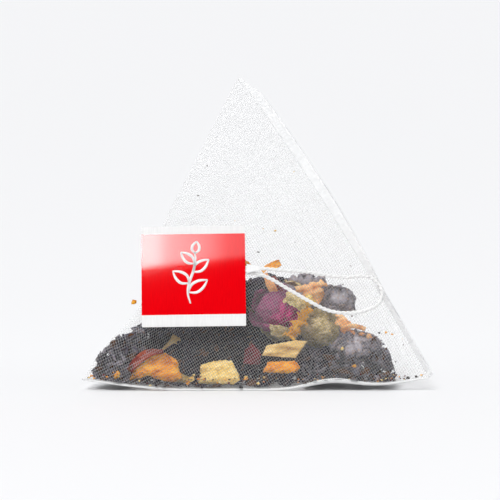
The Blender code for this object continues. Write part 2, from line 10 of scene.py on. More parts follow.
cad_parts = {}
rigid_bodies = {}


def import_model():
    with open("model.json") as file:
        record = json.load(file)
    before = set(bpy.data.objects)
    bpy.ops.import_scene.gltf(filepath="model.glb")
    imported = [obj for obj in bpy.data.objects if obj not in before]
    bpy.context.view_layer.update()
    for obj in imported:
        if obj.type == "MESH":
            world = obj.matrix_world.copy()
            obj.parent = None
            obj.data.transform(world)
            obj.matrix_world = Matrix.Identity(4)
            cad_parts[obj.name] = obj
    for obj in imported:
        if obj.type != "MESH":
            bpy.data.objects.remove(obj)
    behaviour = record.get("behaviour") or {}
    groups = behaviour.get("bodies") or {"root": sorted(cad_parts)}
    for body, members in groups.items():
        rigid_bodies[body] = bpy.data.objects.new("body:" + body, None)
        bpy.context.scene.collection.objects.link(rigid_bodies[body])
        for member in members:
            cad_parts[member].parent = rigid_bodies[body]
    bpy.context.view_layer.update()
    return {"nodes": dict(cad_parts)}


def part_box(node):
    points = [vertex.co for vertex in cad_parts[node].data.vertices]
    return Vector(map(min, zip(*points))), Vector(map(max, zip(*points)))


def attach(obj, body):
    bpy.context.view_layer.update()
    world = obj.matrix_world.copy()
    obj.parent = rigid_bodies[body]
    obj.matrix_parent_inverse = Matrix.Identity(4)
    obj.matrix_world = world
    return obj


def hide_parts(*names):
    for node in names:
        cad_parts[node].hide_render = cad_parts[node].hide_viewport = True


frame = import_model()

# The bag's corners and swell are the part's own, with its front edge at y = 0, and footAt
# puts them where the part stands. The lift is made here: the foot of the front wall stands
# off the ground a little at the right.
footAt = np.array((0.00061, -0.02811, 0.0))
bag = {
    "left": (-0.03335, 0.0, 0.0021),
    "right": (0.03335, 0.0, 0.0025),
    "apex": (-0.0036, 0.0190, 0.0593),
    "back": (0.0016, 0.0570, 0.0016),
    "wall": 0.0003,
    "frontBulge": 0.0016,
    "backBulge": 0.0024,
    "flatShare": 0.70,
    "cornerCurl": 1.6,
    "sealBow": 0.0013,
    "dentAt": 0.25,
    "dentDepth": 0.0040,
    "dentReach": 0.0085,
    "dentPush": (0.9535, 0.3011, 0.0),
    "lift": 0.0016,
    "liftAt": 0.0150,
    "liftWide": 0.0065,
    "liftDeep": 0.0055,
    "liftTall": 0.0050,
}
cornerNames = ("left", "right", "apex", "back")
corners = {key: np.array(bag[key]) for key in cornerNames}
middle = sum(corners.values()) / 4
wallCorners = {
    "front": ("left", "right", "apex"),
    "floor": ("left", "right", "back"),
    "rightBack": ("right", "apex", "back"),
    "leftBack": ("left", "apex", "back"),
}


def unit(v):
    v = np.asarray(v, dtype=float)
    return v / np.linalg.norm(v, axis=-1, keepdims=True)


def wallNormal(a, b, c):
    normal = unit(np.cross(corners[b] - corners[a], corners[c] - corners[a]))
    return normal if normal @ (corners[a] - middle) > 0 else -normal


frontOut, rightOut, leftOut = (wallNormal(*wallCorners[wall]) for wall in ("front", "rightBack", "leftBack"))
# the walls that swell: corners, the way out and how far
swells = (
    (wallCorners["front"], frontOut, bag["frontBulge"]),
    (wallCorners["rightBack"], rightOut, bag["backBulge"]),
    (wallCorners["leftBack"], leftOut, bag["backBulge"]),
)
fullSwell = 27  # the three shares multiply to 1/27 in the middle of a wall
frontAcross = unit(corners["right"] - corners["left"])
frontUp = np.cross(frontOut, frontAcross)
frontFoot = (corners["left"] + corners["right"]) / 2
topSealOut = unit((corners["apex"] + corners["right"]) / 2 - (corners["left"] + corners["back"]) / 2)
floorSealOut = unit(np.array((-corners["back"][1], corners["back"][0] - corners["left"][0], 0)))


def tubeWalls(around, along):
    # which places on the tube lie on the front, the floor and the right back wall
    around = np.where(around > 4 - along, around - 4, around)
    return around, [around <= along, around <= 2 - along, around <= 2 + along]


def tubeShares(around, along):
    # what each corner weighs at a place on the tube, as rows of left, right, apex, back
    around, onWall = tubeWalls(around, along)
    zero = np.zeros_like(around)
    front = (1 - along, (along + around) / 2, (along - around) / 2, zero)
    floor = ((2 - along - around) / 2, along, zero, (around - along) / 2)
    right = (zero, (2 + along - around) / 2, (around - 2 + along) / 2, 1 - along)
    left = ((around - 2 - along) / 2, zero, along, (4 - along - around) / 2)
    shares = [np.select(onWall, parts[:3], parts[3]) for parts in zip(front, floor, right, left)]
    return np.stack(shares, axis=-1)


def edgeLift(x, y, z):
    away = ((x - bag["liftAt"]) / bag["liftWide"]) ** 2 + (y / bag["liftDeep"]) ** 2
    return bag["lift"] * np.exp(-away - np.maximum(z, 0) / bag["liftTall"])


def cornerRise(key, share):
    # how far a corner of the floor curls up
    over = np.maximum(0, (share - bag["flatShare"]) / (1 - bag["flatShare"]))
    return corners[key][2] * over ** bag["cornerCurl"]


def wallPoints(shares):
    weights = {key: shares[..., k] for k, key in enumerate(cornerNames)}
    point = sum(weights[key][..., None] * corners[key] for key in cornerNames)
    low = 1 - weights["apex"]
    drop = np.full(low.shape, bag["wall"] / 2)
    for key in wallCorners["floor"]:
        share = weights[key] / np.maximum(low, 1e-6)
        drop = drop + cornerRise(key, share) - share * corners[key][2]
    point[..., 2] += np.where(low > 0, drop * low**2, 0)
    for keys, out, swell in swells:
        first, second, third = (weights[key] for key in keys)
        point = point + out * (swell * fullSwell * (first * second * third))[..., None]
    along = weights["right"] + weights["apex"]
    downSeal = np.minimum(1, weights["right"] / np.maximum(along, 1e-6))
    point = point + topSealOut * (bag["sealBow"] * along**4 * np.sin(math.pi * downSeal**0.8))[..., None]
    dentCentre = corners["left"] + (corners["apex"] - corners["left"]) * bag["dentAt"]
    dent = np.exp(-((np.linalg.norm(point - dentCentre, axis=-1) / bag["dentReach"]) ** 2))
    point = point + np.array(bag["dentPush"]) * (bag["dentDepth"] * dent)[..., None]
    point[..., 2] += edgeLift(point[..., 0], point[..., 1], point[..., 2])
    return point


def onFront(across, up, out):
    return footAt + frontFoot + frontAcross * across + frontUp * up + frontOut * out


def newObject(name, data):
    made = bpy.data.objects.new(name, data)
    bpy.context.scene.collection.objects.link(made)
    return made


# Materials


def addNode(tree, kind, **inputs):
    node = tree.nodes.new("ShaderNode" + kind)
    for key, value in inputs.items():
        socket = node.inputs[key.replace("_", " ")]
        if hasattr(value, "is_output"):
            tree.links.new(value, socket)
        else:
            socket.default_value = value
    return node


def newFinish(name, roughness=0.6, **fixed):
    material = bpy.data.materials.new(name)
    material.use_nodes = True
    tree = material.node_tree
    shader = tree.nodes["Principled BSDF"]
    shader.inputs["Roughness"].default_value = roughness
    for key, value in fixed.items():
        shader.inputs[key.replace("_", " ")].default_value = value
    return material, tree, shader


def colourSteps(tree, factor, steps):
    # each step is where it stands, then its colour
    ramp = addNode(tree, "ValToRGB", Fac=factor)
    for k, (at, *colour) in ((0, steps[0]), (1, steps[-1])):
        ramp.color_ramp.elements[k].position = at
        ramp.color_ramp.elements[k].color = (*colour, 1)
    for at, *colour in steps[1:-1]:
        ramp.color_ramp.elements.new(at).color = (*colour, 1)
    return ramp.outputs["Color"]


def cloudNoise(tree, place, scale, detail, roughness):
    cloud = addNode(tree, "TexNoise", Vector=place, Scale=scale, Detail=detail, Roughness=roughness)
    return cloud.outputs["Fac"]


def mapRange(tree, value, low, high, start=0.0, end=1.0):
    share = addNode(tree, "MapRange", Value=value, From_Min=low, From_Max=high, To_Min=start, To_Max=end)
    return share.outputs["Result"]


def mixColours(tree, first, second, share):
    # sockets 0, 6 and 7 are the share and the two colours
    mix = addNode(tree, "Mix")
    mix.data_type = "RGBA"
    tree.links.new(share, mix.inputs[0])
    tree.links.new(first, mix.inputs[6])
    mix.inputs[7].default_value = (*second, 1)
    return mix.outputs[2]


def addBump(tree, shader, height, strength, distance):
    bump = addNode(tree, "Bump", Height=height, Strength=strength, Distance=distance)
    tree.links.new(bump.outputs["Normal"], shader.inputs["Normal"])


# the clouds in every dried finish: how much finer than the look's own scale, then detail and
# roughness
driedClouds = {"mottle": (1, 6.0, 0.62), "vein": (4.5, 3.0, 0.7), "grain": (3, 4.0, 0.6)}
driedShares = {"veinFrom": 0.52, "veinTo": 0.68, "dullest": 0.8, "bumpDeep": 0.0002}


def driedFinish(name, look):
    # mottled and wrinkled, as dried leaf, fruit and petals are
    material, tree, shader = newFinish(name, look["roughness"], Specular_IOR_Level=look.get("gloss", 0.35))
    place = addNode(tree, "TexCoord").outputs["Object"]
    stretched = addNode(tree, "Mapping", Vector=place, Scale=look.get("stretch", (1, 1, 1))).outputs["Vector"]
    clouds = {key: cloudNoise(tree, stretched, look["scale"] * finer, detail, roughness)
              for key, (finer, detail, roughness) in driedClouds.items()}
    colour = colourSteps(tree, clouds["mottle"], look["steps"])
    if "vein" in look:
        share = mapRange(tree, clouds["vein"], driedShares["veinFrom"], driedShares["veinTo"])
        colour = mixColours(tree, colour, look["vein"], share)
    if "open" in look:
        # bright near its middle and duller further out
        middleAt, near, far, dull = look["open"]
        away = addNode(tree, "VectorMath", Vector=place)
        away.operation = "DISTANCE"
        away.inputs[1].default_value = middleAt
        share = mapRange(tree, away.outputs["Value"], near, far, 0.0, driedShares["dullest"])
        colour = mixColours(tree, colour, dull, share)
    if "rise" in look:
        # painted shade: darker toward the ground
        low, high, dark = look["rise"]
        height = addNode(tree, "SeparateXYZ", Vector=place).outputs["Z"]
        groundShade = addNode(tree, "VectorMath", Vector=colour)
        groundShade.operation = "SCALE"
        tree.links.new(mapRange(tree, height, low, high, dark), groundShade.inputs["Scale"])
        colour = groundShade.outputs["Vector"]
    tree.links.new(colour, shader.inputs["Base Color"])
    addBump(tree, shader, clouds["grain"], look.get("bump", 0.6), driedShares["bumpDeep"])
    return material


paperLook = {"stretch": (6, 1, 0.4), "scale": 900.0, "dark": 0.93, "bump": 0.12}


def paperFinish(name, colour, roughness, **fixed):
    # card and cotton, with fine fibres
    material, tree, shader = newFinish(name, roughness, **fixed)
    place = addNode(tree, "TexCoord").outputs["Object"]
    streak = addNode(tree, "Mapping", Vector=place, Scale=paperLook["stretch"]).outputs["Vector"]
    fibre = cloudNoise(tree, streak, paperLook["scale"], 3.0, 0.6)
    dark = [share * paperLook["dark"] for share in colour]
    tone = colourSteps(tree, fibre, ((0.35, *dark), (0.62, *colour)))
    tree.links.new(tone, shader.inputs["Base Color"])
    addBump(tree, shader, fibre, paperLook["bump"], 0.00005)
    return material


nylonLook = {"colour": (0.97, 0.975, 0.975), "dim": (0.90, 0.91, 0.915), "roughness": 0.5, "scale": 160.0}


# scatter sets a faint white emission, which is painted light: the threads glow a little in place of the light
# they would pass on
def nylonFinish(name, alpha=1.0, dim=nylonLook["dim"], scatter=0.0):
    material, tree, shader = newFinish(name, nylonLook["roughness"], Alpha=alpha, Specular_IOR_Level=0.4,
                                       Emission_Color=(1.0, 1.0, 1.0, 1.0), Emission_Strength=scatter)
    place = addNode(tree, "TexCoord").outputs["Object"]
    drift = cloudNoise(tree, place, nylonLook["scale"], 4.0, 0.6)
    tone = colourSteps(tree, drift, ((0.35, *dim), (0.6, *nylonLook["colour"])))
    tree.links.new(tone, shader.inputs["Base Color"])
    return material


finishes = {
    # the woven and fused nylon glow a little from their emission, painted light standing in for the light the
    # threads pass on
    "nylon": nylonFinish("wovenNylon", 0.30, scatter=0.17),
    "seal": nylonFinish("fusedNylon", 0.36, scatter=0.035),
    "sealEdge": nylonFinish("cutNylon", 0.8, (0.45, 0.46, 0.47)),
    "hem": nylonFinish("foldedNylon", 0.7),
    "cardWhite": paperFinish("cardWhite", (0.87, 0.87, 0.865), 0.5),
    "cardRed": paperFinish("cardRed", (0.86, 0.0, 0.004), 0.5, Coat_Weight=1.0, Coat_Roughness=0.035,
                           Specular_IOR_Level=0.0),
    "print": paperFinish("printWhite", (0.92, 0.90, 0.90), 0.5, Coat_Weight=1.0, Coat_Roughness=0.035),
    "cotton": paperFinish("threadCotton", (0.93, 0.93, 0.925), 0.85),
}
driedLooks = {
    "leaf": {"roughness": 0.55, "scale": 420.0, "bump": 1.0, "gloss": 0.3,
             "steps": ((0.30, 0.003, 0.003, 0.008), (0.52, 0.009, 0.009, 0.024), (0.74, 0.038, 0.038, 0.068)),
             "vein": (0.075, 0.035, 0.025)},
    "paleLeaf": {"roughness": 0.5, "scale": 420.0, "bump": 1.0, "gloss": 0.5,
                 "steps": ((0.30, 0.04, 0.04, 0.055), (0.50, 0.22, 0.20, 0.235), (0.72, 0.58, 0.54, 0.59)),
                 "vein": (0.40, 0.27, 0.19)},
    "greyLeaf": {"roughness": 0.5, "scale": 420.0, "bump": 1.0, "gloss": 0.5,
                 "steps": ((0.30, 0.015, 0.014, 0.028), (0.50, 0.095, 0.088, 0.115),
                           (0.72, 0.36, 0.33, 0.39)),
                 "vein": (0.20, 0.12, 0.08)},
    "brownLeaf": {"roughness": 0.6, "scale": 420.0, "bump": 1.0,
                  "steps": ((0.30, 0.03, 0.011, 0.004), (0.52, 0.09, 0.035, 0.014),
                            (0.74, 0.22, 0.11, 0.045))},
    "orange": {"roughness": 0.6, "scale": 520.0, "bump": 1.0, "stretch": (1.0, 1.6, 2.0),
               "steps": ((0.30, 0.42, 0.09, 0.002), (0.48, 0.86, 0.32, 0.006), (0.66, 1.0, 0.58, 0.07)),
               "vein": (0.45, 0.10, 0.008)},
    "skin": {"roughness": 0.5, "scale": 500.0, "bump": 0.8,
             "steps": ((0.30, 0.06, 0.012, 0.012), (0.5, 0.20, 0.035, 0.03), (0.72, 0.42, 0.11, 0.06))},
    "yellow": {"roughness": 0.6, "scale": 480.0, "bump": 0.9, "stretch": (1.0, 1.4, 1.8),
               "steps": ((0.30, 0.50, 0.25, 0.04), (0.50, 0.88, 0.60, 0.15), (0.70, 1.0, 0.83, 0.42)),
               "vein": (1.0, 0.86, 0.50)},
    "tan": {"roughness": 0.7, "scale": 480.0, "bump": 0.9, "stretch": (0.7, 1.4, 2.2),
            "steps": ((0.30, 0.32, 0.16, 0.04), (0.50, 0.70, 0.46, 0.15), (0.70, 0.92, 0.74, 0.38))},
    "redPetal": {"roughness": 0.6, "scale": 380.0, "bump": 0.7,
                 "steps": ((0.30, 0.035, 0.003, 0.006), (0.52, 0.12, 0.010, 0.018),
                           (0.72, 0.24, 0.03, 0.035))},
    "peach": {"roughness": 0.65, "scale": 520.0, "bump": 0.8,
              "steps": ((0.28, 0.55, 0.17, 0.07), (0.50, 0.88, 0.46, 0.20), (0.72, 1.0, 0.74, 0.42))},
    "rose": {"roughness": 0.5, "scale": 460.0, "bump": 1.0, "stretch": (1.8, 1.8, 0.8),
             "steps": ((0.34, 0.06, 0.006, 0.03), (0.50, 0.48, 0.010, 0.16), (0.66, 0.95, 0.05, 0.34)),
             "vein": (0.20, 0.010, 0.08),
             "open": ((0.0080, -0.0225, 0.0122), 0.0026, 0.0058, (0.20, 0.075, 0.14))},
    # the calyx's rise paints shade on it, darker toward the ground
    "olive": {"roughness": 0.7, "scale": 520.0, "bump": 1.0, "stretch": (1.0, 2.2, 2.2),
              "steps": ((0.28, 0.12, 0.08, 0.025), (0.50, 0.55, 0.41, 0.15), (0.72, 0.98, 0.82, 0.48)),
              "vein": (1.0, 0.90, 0.66), "rise": (0.0050, 0.0115, 0.45)},
    "stamen": {"roughness": 0.6, "scale": 700.0, "bump": 0.6,
               "steps": ((0.28, 0.40, 0.13, 0.01), (0.50, 0.75, 0.36, 0.03), (0.74, 0.90, 0.60, 0.12))},
    "blackSpeck": {"roughness": 0.7, "scale": 900.0, "bump": 0.4,
                   "steps": ((0.3, 0.01, 0.008, 0.008), (0.7, 0.06, 0.045, 0.035))},
}
for key, look in driedLooks.items():
    finishes[key] = driedFinish(key + "Dried", look)
print("finishes made")


# Camera, light and floor

view = {"elevation": 6.7, "distance": 0.4486, "aim": (-0.00114, 0.006, 0.02661), "lens": 166.7}


def setCamera():
    data = bpy.data.cameras.new("camera")
    data.lens = view["lens"]
    data.sensor_width = 36
    camera = newObject("camera", data)
    tilt = math.radians(view["elevation"])
    toward = Vector((0, math.cos(tilt), -math.sin(tilt)))
    camera.location = Vector(footAt) + Vector(view["aim"]) - toward * view["distance"]
    camera.rotation_euler = toward.to_track_quat("-Z", "Y").to_euler()
    bpy.context.scene.camera = camera


# a row of narrow softboxes in front, brightest at the left; the shiny tag mirrors their
# lower edge
softbox = {
    "across": (-0.080, 0.012), "count": 32,
    "at": (-0.0564, -0.0509, -0.0454, -0.0399, -0.029, -0.0179, -0.0124, -0.0069, -0.0036, 0.010),
    "radiance": (19.8, 18.4, 12.8, 10.8, 8.8, 7.2, 5.5, 3.9, 3.1, 2.5),
    "away": 0.54, "tall": 0.075, "elevation": math.radians(33.5), "from": (0, -0.0255, 0.0255),
    "rise": 0.0046, "slope": 0.073,
}
keyLight = {"strength": 2.28, "spread": 26, "toward": (0.24, 0.54, -0.81)}
roomLight = {"bright": (0.985, 0.985, 1.0), "dim": (0.03, 0.03, 0.03), "between": (-0.55, -0.25),
             "strength": 0.625}
floorLook = {"reach": 60.0, "colour": (0.868, 0.872, 0.882), "roughness": 0.8}


def addLamp(name, kind, toward, **values):
    data = bpy.data.lights.new(name, kind)
    for key, value in values.items():
        setattr(data, key, value)
    lamp = newObject(name, data)
    lamp.rotation_euler = Vector(toward).to_track_quat("-Z", "Y").to_euler()
    return lamp


def setLights():
    up = Vector((0, math.sin(softbox["elevation"]), math.cos(softbox["elevation"])))
    away = Vector((0, -math.cos(softbox["elevation"]), math.sin(softbox["elevation"])))
    edges = np.linspace(*softbox["across"], softbox["count"] + 1)
    for number, (start, end) in enumerate(zip(edges, edges[1:]), 1):
        across = (start + end) / 2
        radiance = np.interp(across, softbox["at"], softbox["radiance"])
        lamp = addLamp(f"softbox{number}", "AREA", -away, shape="RECTANGLE", size=end - start,
                       size_y=softbox["tall"], energy=radiance * math.pi * (end - start) * softbox["tall"])
        rise = softbox["rise"] + softbox["slope"] * across
        lamp.location = Vector(softbox["from"]) + away * softbox["away"] + up * rise + Vector((across, 0, 0))
    addLamp("key", "SUN", keyLight["toward"], energy=keyLight["strength"],
            angle=math.radians(keyLight["spread"]))
    # the room is bright all round and dim on the near side
    world = bpy.data.worlds.new("room")
    world.use_nodes = True
    tree = world.node_tree
    place = addNode(tree, "TexCoord").outputs["Generated"]
    near = addNode(tree, "SeparateXYZ", Vector=place).outputs["Y"]
    share = mapRange(tree, near, *roomLight["between"])
    colour = colourSteps(tree, share, ((0.0, *roomLight["dim"]), (1.0, *roomLight["bright"])))
    back = tree.nodes["Background"]
    tree.links.new(colour, back.inputs["Color"])
    back.inputs["Strength"].default_value = roomLight["strength"]
    bpy.context.scene.world = world
    bpy.context.scene.view_settings.view_transform = "Standard"


def layFloor():
    bm = bmesh.new()
    bmesh.ops.create_grid(bm, x_segments=2, y_segments=2, size=floorLook["reach"])
    mesh = bpy.data.meshes.new("floor")
    bm.to_mesh(mesh)
    bm.free()
    floor = newObject("floor", mesh)
    mesh.materials.append(newFinish("paleFloor", floorLook["roughness"], Specular_IOR_Level=0.0,
                                    Base_Color=(*floorLook["colour"], 1))[0])


setCamera()
setLights()
layFloor()
print("camera, light and floor set")


# Helpers for pieces


def addPiece(name, mesh, finish, nodes=(), smooth=True):
    piece = newObject(name, mesh)
    mesh.materials.append(finishes[finish])
    if smooth:
        mesh.polygons.foreach_set("use_smooth", np.ones(len(mesh.polygons), dtype=bool))
    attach(piece, "root")
    if nodes:
        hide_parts(*nodes)
    return piece


def smoothRoute(route, step, fineSteps=20):
    # an even line through the points of a route, and its length
    route = [np.array(point) for point in route]
    ends = [route[0] * 2 - route[1], *route, route[-1] * 2 - route[-2]]
    fine = []
    for before, start, end, after in zip(ends, ends[1:], ends[2:], ends[3:]):
        for t in np.arange(fineSteps) / fineSteps:
            bend = (2 * before - 5 * start + 4 * end - after) * t
            bend = bend + (3 * start - before - 3 * end + after) * t * t
            fine.append(start + ((end - before) + bend) * (t / 2))
    fine.append(route[-1])
    fine = np.array(fine)
    run = np.concatenate([[0], np.cumsum(np.linalg.norm(np.diff(fine, axis=0), axis=1))])
    even = np.linspace(0, run[-1], round(run[-1] / step) + 1)
    return np.stack([np.interp(even, run, fine[:, axis]) for axis in range(3)], axis=1), float(run[-1])


def meshFrom(name, points, faces):
    mesh = bpy.data.meshes.new(name)
    points = np.asarray(points, dtype=np.float32)
    faces = np.asarray(faces, dtype=np.int32)
    count, sides = faces.shape
    mesh.vertices.add(len(points))
    mesh.vertices.foreach_set("co", points.ravel())
    mesh.loops.add(count * sides)
    mesh.loops.foreach_set("vertex_index", faces.ravel())
    mesh.polygons.add(count)
    mesh.polygons.foreach_set("loop_start", np.arange(0, count * sides, sides, dtype=np.int32))
    mesh.update(calc_edges=True)
    mesh.validate()
    return mesh


def joinParts(name, parts):
    # one mesh of many small bodies, each given as its points and faces
    points, faces, base = [], [], 0
    for partPoints, partFaces in parts:
        points.append(partPoints)
        faces.append(np.asarray(partFaces) + base)
        base += len(partPoints)
    return meshFrom(name, np.concatenate(points), np.concatenate(faces))


def stripFaces(steps, rows, base=0):
    # faces of a thin strip whose points come in pairs, one on each side, rows + 1 to a step
    wide = (rows + 1) * 2
    faces = []
    for step in range(steps):
        first = base + step * wide
        last = first + rows * 2
        for a in range(first, last, 2):
            faces.append((a, a + 2, a + 2 + wide, a + wide))
            faces.append((a + 1, a + 1 + wide, a + 3 + wide, a + 3))
        faces.append((first, first + wide, first + 1 + wide, first + 1))
        faces.append((last, last + 1, last + 1 + wide, last + wide))
    far = base + steps * wide
    for row in range(rows):
        a, b = base + row * 2, far + row * 2
        faces.append((a, a + 1, a + 3, a + 2))
        faces.append((b, b + 2, b + 3, b + 1))
    return faces


def tubePoints(line, radii, sides):
    # rings around a line that runs along the front wall
    way = unit(np.gradient(line, axis=0))
    across = unit(np.cross(way, frontOut))
    up = np.cross(across, way)
    turns = np.arange(sides) / sides * math.tau
    ring = across[:, None] * np.cos(turns)[None, :, None] + up[:, None] * np.sin(turns)[None, :, None]
    return (line[:, None] + ring * np.reshape(radii, (-1, 1, 1))).reshape(-1, 3)


def tubeFaces(rings, sides, base=0):
    faces = []
    for k in range(rings - 1):
        for s in range(sides):
            a, b = base + k * sides + s, base + k * sides + (s + 1) % sides
            faces.append((a, b, b + sides, a + sides))
    return faces


def closeEnds(mesh, sides):
    bm = bmesh.new()
    bm.from_mesh(mesh)
    bmesh.ops.holes_fill(bm, edges=[edge for edge in bm.edges if edge.is_boundary], sides=sides)
    bmesh.ops.recalc_face_normals(bm, faces=bm.faces)
    bm.to_mesh(mesh)
    bm.free()
    return mesh


# Woven bag: threads along the tube and around it, each one bent over and under its
# neighbours, with a fused band at both sealed edges

weave = {"perUnit": 68, "thread": 0.000064, "rise": 0.9, "cornerTurns": (90, 210, 330)}


def weaveGrid():
    columns, rows = weave["perUnit"] * 4, weave["perUnit"] * 2
    around, along = np.meshgrid(np.arange(columns) / weave["perUnit"], np.arange(rows + 1) / rows,
                                indexing="ij")
    points = wallPoints(tubeShares(around, along)) + footAt
    alongStep = np.gradient(points, axis=1)
    aroundStep = np.roll(points, -1, axis=0) - np.roll(points, 1, axis=0)
    normal = np.cross(aroundStep, alongStep)
    size = np.linalg.norm(normal, axis=-1, keepdims=True)
    normal = np.where(size > 1e-12, normal / np.maximum(size, 1e-12), 0)
    middleAt = footAt + middle
    inward = np.sum(normal * (points - middleAt), axis=-1, keepdims=True) < 0
    normal = np.where(inward, -normal, normal)
    return points, unit(alongStep), unit(np.where(np.abs(aroundStep) > 0, aroundStep, 1e-12)), normal


def wallOf(around, along):
    return np.select(tubeWalls(around, along)[1], [0, 1, 2], 3)


def weaveWall(name, wall, grid):
    points, alongWay, aroundWay, normal = grid
    columns, rows = points.shape[0], points.shape[1]
    column, row = np.meshgrid(np.arange(columns), np.arange(rows), indexing="ij")
    over = np.where((column + row) % 2, 1.0, -1.0)[..., None]
    height = weave["thread"] / 2 * weave["rise"]
    radius = weave["thread"] / 2
    rings, faces, start = [], [], 0
    for way, sign in ((alongWay, 1), (aroundWay, -1)):
        side = np.cross(way, normal)
        centre = points + normal * over * sign * height
        for turn in weave["cornerTurns"]:
            angle = math.radians(turn)
            rings.append(centre + (normal * math.sin(angle) + side * math.cos(angle)) * radius)
        if sign == 1:
            c, r = np.meshgrid(np.arange(columns), np.arange(rows - 1), indexing="ij")
            nextC, nextR = c, r + 1
            keep = wallOf(c / weave["perUnit"], (r + 0.5) / (rows - 1)) == wall
        else:
            c, r = np.meshgrid(np.arange(columns), np.arange(1, rows - 1), indexing="ij")
            nextC, nextR = (c + 1) % columns, r
            keep = wallOf((c + 0.5) / weave["perUnit"], r / (rows - 1)) == wall
        here = (c * rows + r)[keep]
        there = (nextC * rows + nextR)[keep]
        total = columns * rows
        for k in range(3):
            a, b = start + k * total, start + (k + 1) % 3 * total
            faces.append(np.stack([here + a, there + a, there + b, here + b], axis=-1))
        start += 3 * total
    allPoints = np.concatenate([ring.reshape(-1, 3) for ring in rings])
    faces = np.concatenate(faces)
    used, faces = np.unique(faces, return_inverse=True)
    faces = faces.reshape(-1, 4)
    mesh = meshFrom(name, allPoints[used], faces)
    # each face has its own small cell, in rows
    cells = math.ceil(math.sqrt(len(faces)))
    at = np.arange(len(faces))
    base = np.stack([at % cells, at // cells], axis=-1)[:, None, :]
    inset = np.array([(0.1, 0.1), (0.9, 0.1), (0.9, 0.9), (0.1, 0.9)])[None]
    uv = mesh.uv_layers.new(name="OFBake")
    uv.data.foreach_set("uv", ((base + inset) / cells).astype(np.float32).ravel())
    return mesh


def buildWeave():
    grid = weaveGrid()
    names = ("woven_front", "woven_floor", "woven_right_back", "woven_left_back")
    for wall, (name, keys) in enumerate(zip(names, wallCorners.values())):
        mesh = weaveWall(name, wall, grid)
        piece = addPiece(name, mesh, "nylon", ["mesh_bag"])
        print(name, len(mesh.polygons) * 2, "triangles")


seal = {"width": 0.0022, "thickness": 0.00022, "turn": math.radians(38), "turnFrom": 0.45,
        "turnOver": 0.3, "steps": 220, "rows": 6, "ripple": 0.00005, "rippleStep": 1.9, "taper": 0.10,
        "tip": 0.15, "edgeThin": 0.6}


def sealStrip(name, start, end, outAt):
    # a flat band of fused mesh from one corner to another, as a thin closed body
    verts = []
    steps, rows = seal["steps"], seal["rows"]
    for step in range(steps + 1):
        t = step / steps
        base = edgePoint(start, end, t)
        out = outAt(t)
        lift = unit(np.cross(corners[end] - corners[start], out))
        wide = seal["width"] * min(1, seal["tip"] + t / seal["taper"])
        for row in range(rows + 1):
            ripple = seal["ripple"] * math.sin(step * seal["rippleStep"]) * math.sin(math.pi * row / rows)
            spot = base + out * (wide * row / rows) + lift * ripple
            thick = seal["thickness"] / 2 * (seal["edgeThin"] if row == rows else 1)
            verts += [spot + lift * thick, spot - lift * thick]
    return meshFrom(name, np.array(verts), stripFaces(steps, rows))


def edgePoint(start, end, t):
    shares = np.zeros(4)
    shares[cornerNames.index(start)] = 1 - t
    shares[cornerNames.index(end)] = t
    return wallPoints(shares[None])[0] + footAt


def topSealWay(t):
    # the upper seal turns over toward its foot
    turn = seal["turn"] * min(1, max(0, (t - seal["turnFrom"]) / seal["turnOver"]))
    axis = Vector(corners["right"] - corners["apex"]).normalized()
    return np.array(Matrix.Rotation(turn, 3, axis) @ Vector(topSealOut))


sealEdge = {"from": 0.30, "to": 0.985, "steps": 160, "width": 0.00016, "sides": 5, "tip": 0.15,
            "taperSteps": 6, "wobble": 0.00003, "waves": 60}


def buildSeals():
    for name, start, end, outAt in (("top_seal", "apex", "right", topSealWay),
                                    ("floor_seal", "left", "back", lambda t: floorSealOut)):
        addPiece(name, sealStrip(name, start, end, outAt), "seal", ["mesh_bag"])
    # the cut edge of the upper seal
    line = []
    for t in np.linspace(sealEdge["from"], sealEdge["to"], sealEdge["steps"]):
        wobble = sealEdge["wobble"] * noise.noise(Vector((t * sealEdge["waves"], 0, 0)))
        line.append(edgePoint("apex", "right", t) + topSealWay(t) * (seal["width"] + wobble))
    steps = np.arange(len(line))
    taper = np.minimum(1, np.minimum(steps, steps[::-1]) / sealEdge["taperSteps"] + sealEdge["tip"])
    points = tubePoints(np.array(line), sealEdge["width"] / 2 * taper, sealEdge["sides"])
    mesh = meshFrom("top_seal_edge", points, tubeFaces(len(line), sealEdge["sides"]))
    addPiece("top_seal_edge", closeEnds(mesh, sealEdge["sides"]), "sealEdge")


hem = {"steps": 180, "tall": 0.00042, "more": 0.0005, "thick": 0.00010, "out": 0.00012, "wave": 0.00005,
       "waves": 900, "clear": 0.00004, "ends": 12}


def buildHem():
    # the folded foot of the front wall, taller where it is lifted
    inner = hem["out"] - hem["thick"]
    verts = []
    for step in range(hem["steps"] + 1):
        t = step / hem["steps"]
        x, y, z = edgePoint("left", "right", t)
        more = hem["more"] * math.exp(-(((x - footAt[0] - bag["liftAt"]) / bag["liftWide"]) ** 2))
        ends = min(1, hem["ends"] * t, hem["ends"] * (1 - t))
        wave = hem["wave"] * noise.noise(Vector((x * hem["waves"], 0, 0)))
        tall = hem["tall"] * (0.5 + 0.5 * ends) + more + wave
        foot = np.array((x, y, max(footAt[2] + hem["clear"], z - bag["wall"] / 2)))
        for height, out in ((0.0, hem["out"]), (0.0, inner), (tall, inner), (tall, hem["out"])):
            verts.append(foot + frontUp * height + np.array((0, -out, 0)))
    last = hem["steps"] * 4
    faces = tubeFaces(hem["steps"] + 1, 4) + [(3, 2, 1, 0), (last, last + 1, last + 2, last + 3)]
    mesh = meshFrom("bottom_fold", np.array(verts), faces)
    addPiece("bottom_fold", mesh, "hem", ["mesh_bag"])


buildWeave()
buildSeals()
buildHem()
print("bag woven")


# Fill


